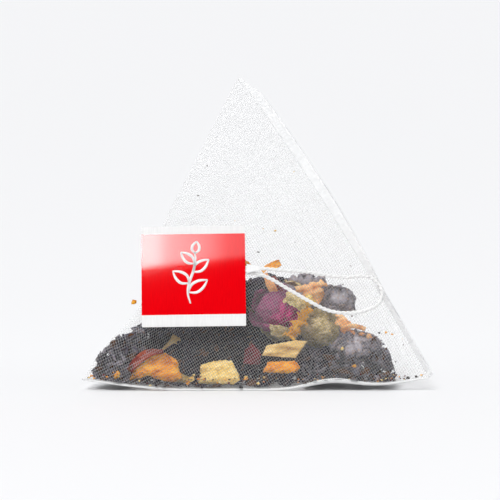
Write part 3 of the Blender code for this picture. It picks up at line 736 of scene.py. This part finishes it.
def wallGaps(points):
    # how far each point lies inside of each wall, and the ways out
    local = points - footAt
    gaps = []
    for keys, out, swell in swells:
        a, b, c = (corners[key] for key in keys)
        flat = local - (local - a) @ out[:, None] * out
        solve = np.linalg.lstsq(np.stack([b - a, c - a], axis=1), (flat - a).T, rcond=None)[0]
        second, third = np.clip(solve, 0, 1)
        first = np.clip(1 - second - third, 0, 1)
        gaps.append((swell * fullSwell * first * second * third - (local - a) @ out, out))
    return gaps


def floorAt(points):
    # how high the bag's floor lies under each point
    local = points - footAt
    a, b, c = (corners[key][:2] for key in wallCorners["floor"])
    second, third = np.linalg.solve(np.stack([b - a, c - a], axis=1), local[:, :2].T - a[:, None])
    shares = zip(wallCorners["floor"], (1 - second - third, second, third))
    height = sum(cornerRise(key, share) for key, share in shares)
    return footAt[2] + bag["wall"] + height + edgeLift(local[:, 0], local[:, 1], 0.0)


def keepInside(points, margin=0.0004):
    for sweep in range(2):
        for gap, out in wallGaps(points):
            points = points - out * np.maximum(0, margin - gap)[:, None]
    points[:, 2] = np.maximum(points[:, 2], floorAt(points) + margin)
    return points


# the fill's top as seen from the front, in millimetres across and up the front wall
heap = {
    "across": (-33.0, -30.5, -29.1, -27.6, -26.2, -24.1, -22.8, -14.0, -8.0, -1.4, 5.5, 7.1,
               9.1, 11.7, 14.0, 15.1, 17.7, 19.0, 19.3, 20.0, 22.1, 24.3, 25.9, 26.8),
    "up": (1.0, 6.0, 6.9, 7.8, 9.2, 10.1, 10.6, 15.0, 17.5, 19.5, 19.0, 20.0,
           21.6, 22.1, 21.3, 18.0, 17.8, 16.9, 13.6, 9.0, 8.7, 7.5, 5.2, 1.0),
    "sink": 0.207,
    "clear": 0.3,
    "flattest": 0.35,
}


def fillTop(across):
    return np.interp(across, heap["across"], heap["up"])


def frontParts(points):
    # how far across and up the front wall points lie, and how deep behind it, in millimetres
    local = (points - footAt - frontFoot) * 1000
    return local @ frontAcross, local @ frontUp, -(local @ frontOut)


def keepUnder(points, stretch=0.12):
    # presses what stands out of the heap back to its top
    across, up, deep = frontParts(points)
    over = np.maximum(0, up - heap["sink"] * deep - fillTop(across))
    return points - frontUp * (over * (1 - stretch) / 1000)[:, None]


def nodeMesh(node, name):
    mesh = frame["nodes"][node].data.copy()
    mesh.name = name
    mesh.materials.clear()
    bm = bmesh.new()
    bm.from_mesh(mesh)
    bmesh.ops.remove_doubles(bm, verts=bm.verts, dist=0.000005)
    bm.to_mesh(mesh)
    bm.free()
    return mesh


def evenNode(node, name, voxel):
    # a solid's own shape, with even small faces all over
    helper = newObject("helper", nodeMesh(node, name))
    even = helper.modifiers.new("even", "REMESH")
    even.mode = "VOXEL"
    even.voxel_size = voxel
    helper.modifiers.new("smooth", "SMOOTH").iterations = 2
    depsgraph = bpy.context.evaluated_depsgraph_get()
    mesh = bpy.data.meshes.new_from_object(helper.evaluated_get(depsgraph))
    bpy.data.objects.remove(helper)
    mesh.name = name
    return mesh


def readPoints(mesh):
    points = np.empty(len(mesh.vertices) * 3, dtype=np.float32)
    mesh.vertices.foreach_get("co", points)
    normals = np.empty(len(mesh.vertices) * 3, dtype=np.float32)
    mesh.vertex_normals.foreach_get("vector", normals)
    return points.reshape(-1, 3).astype(float), normals.reshape(-1, 3).astype(float)


def writePoints(mesh, points):
    mesh.vertices.foreach_set("co", points.astype(np.float32).ravel())
    mesh.update()


knob = {"edge": 0.55, "level": 0.6}
fold = {"cells": 2.7, "edge": 0.4, "level": 0.7}
grainShare = 0.3


def cellRise(spot, edge, level):
    # high inside of a cell and low along its border
    near, far = noise.voronoi(spot)[0][:2]
    return min(far - near, edge) / edge - level


def roughen(mesh, cell, depth, grain, seed, shrink=0.0, crease=0.0):
    # knobs from large cells, creases from small ones, then a fine grain
    points, normals = readPoints(mesh)
    shift = Vector((seed * 1.7, seed * 0.9, seed * 2.3))
    moved = np.empty(len(points))
    for k, point in enumerate(points):
        spot = Vector(point) / cell + shift
        moved[k] = depth * cellRise(spot, knob["edge"], knob["level"])
        moved[k] += grain * noise.noise(Vector(point) / (cell * grainShare))
        if crease:
            moved[k] += crease * cellRise(spot * fold["cells"], fold["edge"], fold["level"])
    writePoints(mesh, keepInside(points + normals * (moved - shrink)[:, None]))


# a curled bit's cross section: how far across and up its three pairs of points lie
bit = {"steps": 5, "section": ((-1, 0.35), (0, -0.1), (1, 0.35)), "thick": 0.07, "blunt": 0.08}


def curledBit(at, way, out, length, width, bend, twist):
    # a bent and twisted strip with two sides
    side = unit(np.cross(way, out))
    verts = []
    for step in range(bit["steps"] + 1):
        t = step / bit["steps"] - 0.5
        spot = at + way * (length * t) + out * (bend * length * (0.25 - t * t) * 4)
        angle = twist * t
        across = side * math.cos(angle) + out * math.sin(angle)
        up = out * math.cos(angle) - side * math.sin(angle)
        half = width / 2 * math.sqrt(max(bit["blunt"], 1 - (2 * t) ** 2))
        for a, b in bit["section"]:
            for face in (1, -1):
                verts.append(spot + across * (a * half) + up * (b * half + face * width * bit["thick"]))
    return np.array(verts), stripFaces(bit["steps"], 2)


def anyWay(rng):
    return unit(np.array([rng.uniform(-1, 1) for axis in range(3)]))


leafLook = {"voxel": 0.00036, "cell": 0.0022, "depth": 0.0010, "grain": 0.00025, "crease": 0.00045,
            "bits": 30, "shrink": -0.0007, "length": (0.0014, 0.0034), "width": (0.0006, 0.0013)}


def addBits(mesh, count, rng, lengths=leafLook["length"], widths=leafLook["width"]):
    # curled bits lie on the lump, half sunk into it
    points, normals = readPoints(mesh)
    parts = [(points, np.array([face.vertices[:] for face in mesh.polygons]))]
    for number in range(count):
        k = rng.randrange(len(points))
        out = unit(normals[k])
        way = unit(np.cross(out, anyWay(rng)))
        verts, faces = curledBit(points[k] + out * 0.0001, way, out, rng.uniform(*lengths),
                                 rng.uniform(*widths), rng.uniform(-0.12, 0.10), rng.uniform(-1.6, 1.6))
        parts.append((keepInside(keepUnder(verts)), faces))
    return joinParts(mesh.name, parts)


def lowerToHeap(mesh):
    # a lump that stands higher than the heap is pressed flatter
    points = readPoints(mesh)[0]
    across, up, deep = frontParts(points)
    top, foot = up.max(), up.min()
    most = float(np.median(fillTop(across) + heap["sink"] * deep)) - heap["clear"]
    if top > most:
        share = max(heap["flattest"], (most - foot) / (top - foot))
        writePoints(mesh, points - frontUp * ((up - foot) * (1 - share) / 1000)[:, None])


paleLeaves = ("leaf_top", "leaf_top_right", "leaf_top_bit", "leaf_behind_calyx", "leaf_right_top",
              "leaf_right_low")


def buildLeaves():
    names = sorted(name for name in frame["nodes"] if name.startswith("leaf_"))
    for seed, node in enumerate(names):
        mesh = evenNode(node, node + "_curled", leafLook["voxel"])
        lowerToHeap(mesh)
        roughen(mesh, leafLook["cell"], leafLook["depth"], leafLook["grain"], seed, leafLook["shrink"],
                leafLook["crease"])
        pale = node in paleLeaves
        mesh = addBits(mesh, leafLook["bits"] * (2 if pale else 1), random.Random(seed * 13 + 5))
        addPiece(node + "_curled", mesh, "paleLeaf" if pale else "leaf", [node])


# the other pieces of the fill: finish, slot, voxel, cell, depth and grain
fruitLooks = {
    "orange_chunk": ("orange", "orange_fruit", 0.00016, 0.0012, 0.00030, 0.00012),
    "orange_slice": ("orange", "orange_fruit", 0.00014, 0.0010, 0.00022, 0.00010),
    "peel_curl": ("orange", "orange_fruit", 0.00012, 0.0009, 0.00012, 0.00006),
    "pale_chunk": ("yellow", "yellow_fruit", 0.00016, 0.0011, 0.00025, 0.00010),
    "yellow_flake": ("yellow", "yellow_fruit", 0.00012, 0.0008, 0.00008, 0.00005),
    "pale_flake": ("tan", "tan_flake", 0.00014, 0.0012, 0.00010, 0.00006),
    "tan_flake": ("tan", "tan_flake", 0.00012, 0.0009, 0.00010, 0.00006),
    "red_petal_bit": ("redPetal", "red_petal", 0.00012, 0.0009, 0.00010, 0.00006),
    "peach_core": ("peach", "peach_fruit", 0.00013, 0.0010, 0.00012, 0.00008),
    "peach_peel": ("peach", "peach_fruit", 0.00013, 0.0009, 0.00012, 0.00008),
    "peach_strip": ("peach", "peach_fruit", 0.00012, 0.0009, 0.00010, 0.00006),
}


def buildFruit():
    for seed, (node, (finish, slot, voxel, cell, depth, grain)) in enumerate(fruitLooks.items()):
        mesh = evenNode(node, node + "_dried", voxel)
        roughen(mesh, cell, depth, grain, seed + 40)
        addPiece(node + "_dried", mesh, finish, [node])


# curled peel beside the tag and skin on the orange chunk: finish, then across, up and how
# deep, in millimetres
peels = {
    "peel_tail_top": ("orange", ((1.3, 21.4, 1.3), (2.4, 22.1, 0.9), (3.5, 22.4, 0.8), (4.9, 23.0, 1.0))),
    "peel_tail_drop": (
        "peach", ((1.9, 20.9, 0.9), (2.3, 19.9, 0.6), (2.8, 18.8, 0.5), (3.4, 17.6, 0.6), (4.0, 16.5, 0.9))),
    "peel_tail_skin": ("skin", ((3.3, 20.3, 1.3), (3.9, 19.0, 1.2), (4.4, 17.8, 1.3), (4.9, 16.8, 1.5))),
    "orange_skin": ("skin", ((-24.4, 1.8, 0.6), (-22.8, 3.8, 0.4), (-20.6, 5.2, 0.4), (-17.8, 5.6, 0.7))),
}
peelSize = {"width": 1.7, "thick": 0.35, "step": 0.22, "rows": 6, "sag": 0.35, "rough": 0.10}


def buildPeels():
    for seed, (name, (finish, route)) in enumerate(peels.items()):
        line = smoothRoute(route, peelSize["step"])[0]
        way = unit(np.gradient(line, axis=0))
        points = []
        for k, spot in enumerate(line):
            t = k / (len(line) - 1)
            # it twists along its length and narrows toward both ends
            turn = 0.5 * math.sin(t * 5 + seed) + 0.25
            side = np.array((-way[k][1] * math.cos(turn), way[k][0] * math.cos(turn), math.sin(turn)))
            half = peelSize["width"] / 2 * (0.45 + 0.55 * math.sin(math.pi * (0.15 + 0.7 * t)))
            for row in range(peelSize["rows"] + 1):
                s = row / peelSize["rows"] * 2 - 1
                place = spot + side * (s * half * (1 + 0.12 * noise.noise(Vector((k * 0.8, s, seed)))))
                for face in (1, -1):
                    rough = peelSize["rough"] * noise.noise(Vector((k * 0.55, row * 0.9, seed * 7 + face)))
                    thick = peelSize["thick"] / 2 * (1 - 0.6 * s * s) + rough
                    deep = place[2] - peelSize["sag"] * s * s + face * thick
                    points.append(onFront(place[0] / 1000, place[1] / 1000, -deep / 1000))
        faces = stripFaces(len(line) - 1, peelSize["rows"])
        addPiece(name, meshFrom(name, keepInside(np.array(points), 0.00025), faces), finish)


budLook = {"petalVoxel": 0.00019, "petalWrinkle": 0.0005, "wrinkleSize": 0.0009, "wrinkleSeed": 8,
           "calyxVoxel": 0.00020, "calyxCell": 0.0010, "calyxDepth": 0.00035, "calyxGrain": 0.0001,
           "calyxBits": 70, "bitSeed": 8, "bitLength": (0.0012, 0.0026), "bitWidth": (0.0002, 0.0005)}


def buildRosebud():
    # without a seed the petals' wrinkles would differ from run to run
    noise.seed_set(budLook["wrinkleSeed"])
    names = sorted(name for name in frame["nodes"] if name.startswith("rosebud_"))
    for seed, node in enumerate(names):
        finish, slot = ("rose", "rose_petal") if "petal" in node else ("olive", "rose_green")
        calyx = "calyx" in node
        mesh = evenNode(node, node + "_dried", budLook["calyxVoxel" if calyx else "petalVoxel"])
        if calyx:
            roughen(mesh, budLook["calyxCell"], budLook["calyxDepth"], budLook["calyxGrain"], seed)
            rng = random.Random(budLook["bitSeed"])
            mesh = addBits(mesh, budLook["calyxBits"], rng, budLook["bitLength"], budLook["bitWidth"])
        else:
            points = readPoints(mesh)[0]
            for k, point in enumerate(points):
                spot = Vector(point) / budLook["wrinkleSize"] + Vector((seed, 0, 0))
                points[k] += np.array(noise.noise_vector(spot) * budLook["petalWrinkle"])
            writePoints(mesh, keepInside(points))
        addPiece(node + "_dried", mesh, finish, [node])


# small bits of leaf lie between the lumps: how many, how far across and up the front wall
# in millimetres, and how deep behind it
litter = {
    "leaf_litter_corner": {"count": 330, "across": (-31.0, -22.0), "up": (-1.4, 10.5),
                           "deep": (0.0006, 0.0045), "finish": "greyLeaf"},
    "leaf_litter_left": {"count": 260, "across": (-30.6, -9.0), "up": (-1.6, 12.0), "deep": (0.0006, 0.006)},
    "leaf_litter_middle": {"count": 260, "across": (-10.0, 12.0), "up": (-1.6, 17.0),
                           "deep": (0.0016, 0.010)},
    "leaf_litter_right": {"count": 620, "across": (9.0, 26.4), "up": (-1.6, 9.0), "deep": (0.0006, 0.006),
                          "finish": "greyLeaf"},
    "leaf_litter_floor": {"count": 320, "across": (-31.0, 26.0), "up": (-1.8, 0.6), "deep": (0.0006, 0.008)},
    "leaf_litter_back": {"count": 320, "across": (-20.0, 20.0), "up": (2.0, 14.0), "deep": (0.008, 0.036),
                         "flat": 0.0024},
}
litterBit = {"length": (0.0012, 0.0034), "width": (0.0006, 0.0014), "bend": 0.15, "twist": 2, "brown": 0.16,
             "underTop": 0.6, "behind": 0.0008, "margin": 0.0003}


def buildLitter():
    shown = []
    for node in frame["nodes"]:
        if node.startswith("leaf_") or node in ("mesh_bag", "tag", "thread", "thread_tab"):
            continue
        low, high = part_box(node)
        shown.append((low[0], high[0], low[2], high[2], high[1]))
    for seed, (name, spread) in enumerate(litter.items()):
        rng = random.Random(seed + 90)
        parts = []
        while len(parts) < spread["count"]:
            across, up = rng.uniform(*spread["across"]), rng.uniform(*spread["up"])
            if up > fillTop(across) - litterBit["underTop"]:
                continue
            deep = rng.uniform(*spread["deep"])
            spot = onFront(across / 1000, up / 1000, -deep)
            if "flat" in spread:
                spot[2] = footAt[2] + rng.uniform(0.0004, spread["flat"])
            # no bit hides a piece of fruit or the bud
            hidden = [behind for x0, x1, z0, z1, behind in shown if x0 < spot[0] < x1 and z0 < spot[2] < z1]
            if hidden:
                spot[1] = max(spot[1], max(hidden) + litterBit["behind"])
            out = unit(np.array([rng.uniform(-1, 1), rng.uniform(-1, 0.2), rng.uniform(-0.4, 1)]))
            way = unit(np.cross(out, anyWay(rng)))
            bend, twist = litterBit["bend"], litterBit["twist"]
            verts, faces = curledBit(spot, way, out, rng.uniform(*litterBit["length"]),
                                     rng.uniform(*litterBit["width"]), rng.uniform(-bend, bend),
                                     rng.uniform(-twist, twist))
            parts.append((keepInside(keepUnder(verts), litterBit["margin"]), faces))
        mesh = joinParts(name, parts)
        addPiece(name, mesh, spread.get("finish", "leaf"))
        mesh.materials.append(finishes["brownLeaf"])
        tone = [rng.random() < litterBit["brown"] for part in parts]
        mesh.polygons.foreach_set("material_index", np.repeat(np.array(tone, dtype=np.int32), len(faces)))


# yellow stamens between petals and calyx, in millimetres across and up the front wall
stamens = {"line": ((10.2, 13.6), (9.2, 12.4), (8.2, 11.2), (7.5, 10.0), (6.7, 8.7)), "count": 78,
           "spread": 0.45, "deep": (0.0002, 0.0010), "length": (0.0009, 0.0020), "width": (0.0003, 0.0007),
           "bend": 0.1}


def buildStamens():
    rng = random.Random(31)
    line = np.array(stamens["line"])
    parts = []
    for number in range(stamens["count"]):
        spot = rng.random() * (len(line) - 1)
        k = int(spot)
        scatter = np.array([rng.gauss(0, stamens["spread"]) for axis in range(2)])
        across, up = line[k] + (line[k + 1] - line[k]) * (spot - k) + scatter
        at = onFront(across / 1000, up / 1000, -rng.uniform(*stamens["deep"]))
        out = unit(np.array([rng.uniform(-1, 1), -1, rng.uniform(-1, 1)]))
        way = unit(np.cross(out, anyWay(rng)))
        verts, faces = curledBit(at, way, out, rng.uniform(*stamens["length"]),
                                 rng.uniform(*stamens["width"]), stamens["bend"], rng.uniform(-1, 1))
        parts.append((keepInside(verts, 0.0002), faces))
    addPiece("rosebud_stamens", joinParts("rosebud_stamens", parts), "stamen")


# crumbs: across and up the front wall, size, all in millimetres, and finish
crumbs = {
    "crumbs_upper": (
        (-1.0, 57.2, 0.5, "k"), (-9.3, 42.4, 0.35, "k"), (-11.1, 36.4, 0.35, "b"), (7.7, 41.1, 0.3, "t"),
        (-3.9, 31.3, 0.35, "t"), (1.6, 29.7, 0.3, "t"), (3.9, 29.3, 0.5, "y"), (7.8, 27.0, 0.3, "k"),
        (0.6, 25.1, 0.45, "k"), (18.6, 22.2, 0.4, "b"), (17.0, 18.5, 0.4, "b"), (-23.6, 15.3, 0.9, "o")),
    "crumbs_right": (
        (23.9, 9.0, 0.6, "k"), (25.2, 9.1, 0.6, "o"), (26.4, 8.7, 0.5, "o"), (29.0, 8.1, 0.4, "y"),
        (28.5, 6.6, 0.4, "b"), (27.0, 3.3, 0.5, "k"), (23.5, -0.4, 0.7, "o"), (23.1, 0.2, 0.5, "k"),
        (24.7, -0.6, 0.5, "d"), (26.0, 0.1, 0.5, "k"), (26.6, -0.4, 0.6, "k"), (28.5, 0.0, 0.7, "d"),
        (29.3, 0.1, 1.0, "k"), (30.3, -0.2, 0.5, "d"), (31.0, 0.4, 0.8, "k"), (31.9, 0.7, 0.5, "o"),
        (18.9, 2.5, 1.1, "o"), (16.7, 5.9, 0.9, "y"), (17.5, 13.1, 0.6, "o"), (18.7, 12.3, 0.5, "b"),
        (12.7, 0.4, 0.7, "o"), (15.2, -0.2, 0.8, "k"), (20.3, 5.3, 0.6, "b"), (14.4, 9.4, 0.5, "y"),
        (16.9, 11.4, 2.4, "p"), (17.4, 9.8, 2.0, "p"), (18.3, 8.8, 1.6, "p"), (16.2, 12.6, 1.3, "p"),
        (10.8, 17.0, 2.7, "p"), (9.8, 17.9, 2.1, "p"), (11.9, 18.7, 2.0, "p"), (13.1, 18.8, 1.6, "p"),
        (10.4, 15.6, 1.9, "y"), (12.3, 17.2, 1.6, "p"), (22.0, 8.3, 1.3, "p"), (20.6, 8.8, 1.1, "p")),
    "crumbs_left": (
        (-32.3, 0.5, 0.8, "k"), (-31.8, 0.9, 0.7, "o"), (-31.2, 0.4, 0.9, "o"), (-30.2, 1.0, 0.6, "k"),
        (-29.5, 0.2, 0.8, "b"), (-28.7, 0.7, 0.7, "o"), (-30.7, 1.9, 0.5, "k"), (-27.0, 1.2, 1.4, "o"),
        (-24.1, -1.0, 0.6, "k"), (-22.9, -1.2, 0.7, "y"), (-21.2, -1.3, 0.7, "k"), (-20.4, -1.0, 0.7, "y"),
        (-23.9, 4.7, 1.9, "b"), (-22.4, 3.9, 1.3, "b"), (-13.1, -0.6, 1.1, "o"), (-12.3, 0.2, 1.1, "y"),
        (-0.9, -0.5, 1.4, "b"), (-1.9, 0.2, 1.0, "o"), (0.4, -0.7, 0.9, "y"), (11.0, -0.4, 1.0, "b")),
}
crumbFinish = {"k": "blackSpeck", "b": "brownLeaf", "o": "orange", "y": "yellow", "t": "tan", "d": "redPetal",
               "p": "peach"}
tiny = {"across": (-33, 32), "up": (-1.6, 1.6), "count": 150, "size": (0.18, 0.6), "finishes": "kbbody"}
largeCrumb = {"from": 1.2, "flatten": (1.0, 0.75, 1.0)}


def crumbShape(bm, size, number, rng):
    # a crushed ball for the small ones, a lumpy one for the large
    stretch = np.array([rng.uniform(0.6, 1.3), rng.uniform(0.35, 0.7), rng.uniform(0.5, 1.0)])
    turn = Matrix.Rotation(rng.uniform(0, math.tau), 3, "Y")
    shape = np.array([turn @ vert.co for vert in bm.verts]) * stretch
    if size < largeCrumb["from"]:
        return shape * (1 + 0.35 * np.array([[rng.uniform(-1, 1)] for vert in bm.verts]))
    shift = Vector((number * 3.1, 0, 0))
    spots = [Vector(spot) for spot in shape]
    lumps = [noise.noise(spot * 2.6 + shift) + 0.5 * noise.noise(spot * 7.0) for spot in spots]
    return shape * (1.05 + 0.9 * np.array(lumps))[:, None] * np.array(largeCrumb["flatten"])


def buildCrumbs():
    rng = random.Random(77)
    extra = []
    for number in range(tiny["count"]):
        extra.append((rng.uniform(*tiny["across"]), rng.uniform(*tiny["up"]) * rng.random(),
                      rng.uniform(*tiny["size"]), rng.choice(tiny["finishes"])))
    for name, spots in {**crumbs, "crumbs_floor": extra}.items():
        keys = sorted({spot[3] for spot in spots})
        parts, tones = [], []
        for number, (across, up, size, key) in enumerate(spots):
            bm = bmesh.new()
            bmesh.ops.create_icosphere(bm, subdivisions=1 if size < largeCrumb["from"] else 3, radius=0.5)
            shape = crumbShape(bm, size, number, rng)
            at = onFront(across / 1000, up / 1000, -0.0003 - size / 2000)
            faces = [[vert.index for vert in face.verts] for face in bm.faces]
            parts.append((keepInside(shape * size / 1000 + at, 0.00018), faces))
            tones += [keys.index(key)] * len(faces)
            bm.free()
        mesh = joinParts(name, parts)
        addPiece(name, mesh, crumbFinish[keys[0]], smooth=False)
        for key in keys[1:]:
            mesh.materials.append(finishes[crumbFinish[key]])
        mesh.polygons.foreach_set("material_index", np.array(tones, dtype=np.int32))


buildLeaves()
buildLitter()
buildStamens()
buildCrumbs()
print("leaves made")
buildFruit()
buildPeels()
buildRosebud()
print("fruit and rosebud made")


# Tag, thread and tab

tag = {"width": 0.0200, "height": 0.0197, "card": 0.00032, "across": -0.0119, "up": 0.0195, "bandTop": 0.0016,
       "bandBottom": 0.0023, "wallReach": 0.0026468, "clear": 0.0003, "round": 0.0002, "cut": 0.3,
       "bow": 0.00006, "turn": math.radians(0.5)}
thread = {"width": 0.0005, "strand": 0.00046, "spread": 0.00034, "lay": 0.0019, "step": 0.00018, "sides": 6,
          "route": ((-6.5, 25.0), (-10.0, 24.9), (-14.0, 24.6), (-16.6, 23.7), (-17.3, 22.3), (-16.2, 21.2),
                    (-13.0, 20.9), (-7.0, 21.1), (-2.0, 21.3), (2.0, 21.0), (6.0, 20.6), (10.3, 20.3),
                    (14.0, 19.6), (17.7, 19.3), (20.8, 19.5), (23.1, 18.7), (24.4, 16.4), (23.7, 14.1),
                    (21.4, 12.8), (18.8, 12.3), (16.2, 12.3), (13.6, 12.9), (11.2, 14.1), (8.8, 15.5),
                    (6.0, 17.2), (3.0, 19.0), (0.4, 20.0), (-2.6, 20.2), (-6.0, 19.7), (-10.0, 18.9),
                    (-14.0, 18.0), (-16.4, 16.9), (-17.0, 15.4), (-15.6, 14.2), (-12.0, 13.9), (-7.5, 13.9))}
threadOut = tag["wallReach"] + tag["clear"] + thread["width"] / 2
tagOut = threadOut + thread["width"] / 2 + tag["clear"] + tag["card"] / 2


def buildThread():
    # two strands laid around each other
    route = [onFront(across / 1000, up / 1000, threadOut) for across, up in thread["route"]]
    line, length = smoothRoute(route, thread["step"])
    side = unit(np.cross(unit(np.gradient(line, axis=0)), frontOut))
    sides = thread["sides"]
    points, faces = [], []
    for strand in range(2):
        turn = np.arange(len(line)) * thread["step"] / thread["lay"] * math.tau + strand * math.pi
        out = np.cos(turn)[:, None] * side + np.sin(turn)[:, None] * frontOut
        points.append(tubePoints(line + out * thread["spread"] / 2, thread["strand"] / 2, sides))
        faces += tubeFaces(len(line), sides, strand * len(line) * sides)
    mesh = closeEnds(meshFrom("twisted_thread", np.concatenate(points), faces), sides)
    piece = addPiece("twisted_thread", mesh, "cotton", ["thread"])
    print("thread length", round(length, 4))


def onTag(across, up, out):
    # a place on the tag, which is turned a little and bowed
    turnedAcross = across * math.cos(tag["turn"]) - up * math.sin(tag["turn"])
    turnedUp = across * math.sin(tag["turn"]) + up * math.cos(tag["turn"])
    return onFront(tag["across"] + turnedAcross, tag["up"] + turnedUp, tagOut + out)


def tagBow(across):
    return tag["bow"] * (1 - (across / (tag["width"] / 2)) ** 2)


def buildTag():
    # a card with rounded corners, cut into bands, its face printed red between two white ones
    halfWide, halfTall = tag["width"] / 2, tag["height"] / 2
    low, high = -halfTall + tag["bandBottom"], halfTall - tag["bandTop"]
    ups = sorted([-halfTall, -halfTall + tag["round"], halfTall - tag["round"], halfTall,
                  *np.linspace(low, high, 22)])
    acrosses = sorted([-halfWide, -halfWide + tag["round"], halfWide - tag["round"], halfWide,
                       *np.linspace(-halfWide * 0.93, halfWide * 0.93, 20)])
    points, faces, red = [], [], []
    wide, tall = len(acrosses), len(ups)
    for face in (1, -1):
        for up in ups:
            for across in acrosses:
                corner = abs(across) - halfWide + tag["round"] > 0 and abs(up) - halfTall + tag["round"] > 0
                pull = 1 - tag["cut"] * tag["round"] / halfWide if corner else 1
                points.append(onTag(across * pull, up * pull, face * tag["card"] / 2 + tagBow(across)))
    for side in range(2):
        for j in range(tall - 1):
            for i in range(wide - 1):
                a = side * wide * tall + j * wide + i
                quad = (a, a + 1, a + 1 + wide, a + wide)
                faces.append(quad if side == 0 else quad[::-1])
                red.append(side == 0 and low - 1e-6 <= (ups[j] + ups[j + 1]) / 2 <= high + 1e-6)
    size = wide * tall
    rim = [(i, 0) for i in range(wide - 1)] + [(wide - 1, j) for j in range(tall - 1)]
    rim += [(i, tall - 1) for i in range(wide - 1, 0, -1)] + [(0, j) for j in range(tall - 1, 0, -1)]
    index = [j * wide + i for i, j in rim]
    for a, b in zip(index, index[1:] + index[:1]):
        faces.append((b, a, a + size, b + size))
        red.append(False)
    mesh = meshFrom("tag_card", np.array(points), faces)
    addPiece("tag_card", mesh, "cardWhite", ["tag"])
    mesh.materials.append(finishes["cardRed"])
    mesh.polygons.foreach_set("material_index", np.array(red, dtype=np.int32))
    mesh.polygons.foreach_set("use_smooth", np.zeros(len(faces), dtype=bool))


# a leaf sprig printed in white lines, in millimetres on the tag from its middle
sprig = {"line": 0.56, "print": 0.00002, "at": (-0.2, -0.2), "step": 0.25,
         "stem": ((-0.4, -5.2), (-0.9, -3.2), (-0.6, -1.0), (0.2, 1.2), (0.6, 3.4), (0.5, 5.0)),
         "leaves": (((-0.8, -3.0), (2.9, -0.6), 1.0), ((-0.6, -1.2), (-3.8, 1.2), 1.0),
                    ((0.1, 1.0), (3.2, 3.4), 0.9), ((0.4, 2.6), (-2.2, 4.9), 0.8),
                    ((0.5, 4.6), (0.9, 7.0), 0.75))}


def linePoints(points):
    return smoothRoute([(*point, 0.0) for point in points], sprig["step"])[0][:, :2]


def buildSprig():
    lines = [linePoints(sprig["stem"])]
    for root, tip, width in sprig["leaves"]:
        root, tip = np.array(root), np.array(tip)
        way = unit(tip - root)
        side = np.array((-way[1], way[0]))
        length = np.linalg.norm(tip - root)
        for sign in (1, -1):
            lines.append(linePoints([root, root + way * length * 0.3 + side * sign * width * 0.9,
                                     root + way * length * 0.65 + side * sign * width * 0.8, tip]))
    points, faces = [], []
    for line in lines:
        way = unit(np.gradient(line, axis=0))
        side = np.stack([-way[:, 1], way[:, 0]], axis=1)
        faces += stripFaces(len(line) - 1, 1, len(points))
        for k, (spot, out) in enumerate(zip(line, side)):
            taper = 0.45 + 0.55 * math.sin(math.pi * k / (len(line) - 1))
            for sign in (1, -1):
                across, up = (spot + out * sign * sprig["line"] / 2 * taper + np.array(sprig["at"])) / 1000
                for lift in (sprig["print"] * 1.5, sprig["print"] * 0.5):
                    points.append(onTag(across, up, tag["card"] / 2 + tagBow(across) + lift))
    mesh = meshFrom("tag_sprig", np.array(points), faces)
    addPiece("tag_sprig", mesh, "print", smooth=False)


def buildTab():
    mesh = nodeMesh("thread_tab", "thread_wedge")
    addPiece("thread_wedge", mesh, "cotton", ["thread_tab"], smooth=False)


buildThread()
buildTag()
buildSprig()
buildTab()
print("tag and thread made")

total, reportFrom = 0, 15000
for piece in sorted(bpy.data.objects, key=lambda piece: piece.name):
    if piece.type == "MESH" and piece.name not in frame["nodes"]:
        count = len(piece.data.loops) - 2 * len(piece.data.polygons)
        total += count
        if count > reportFrom:
            print(piece.name, count, "triangles")
print("triangles in all", total)
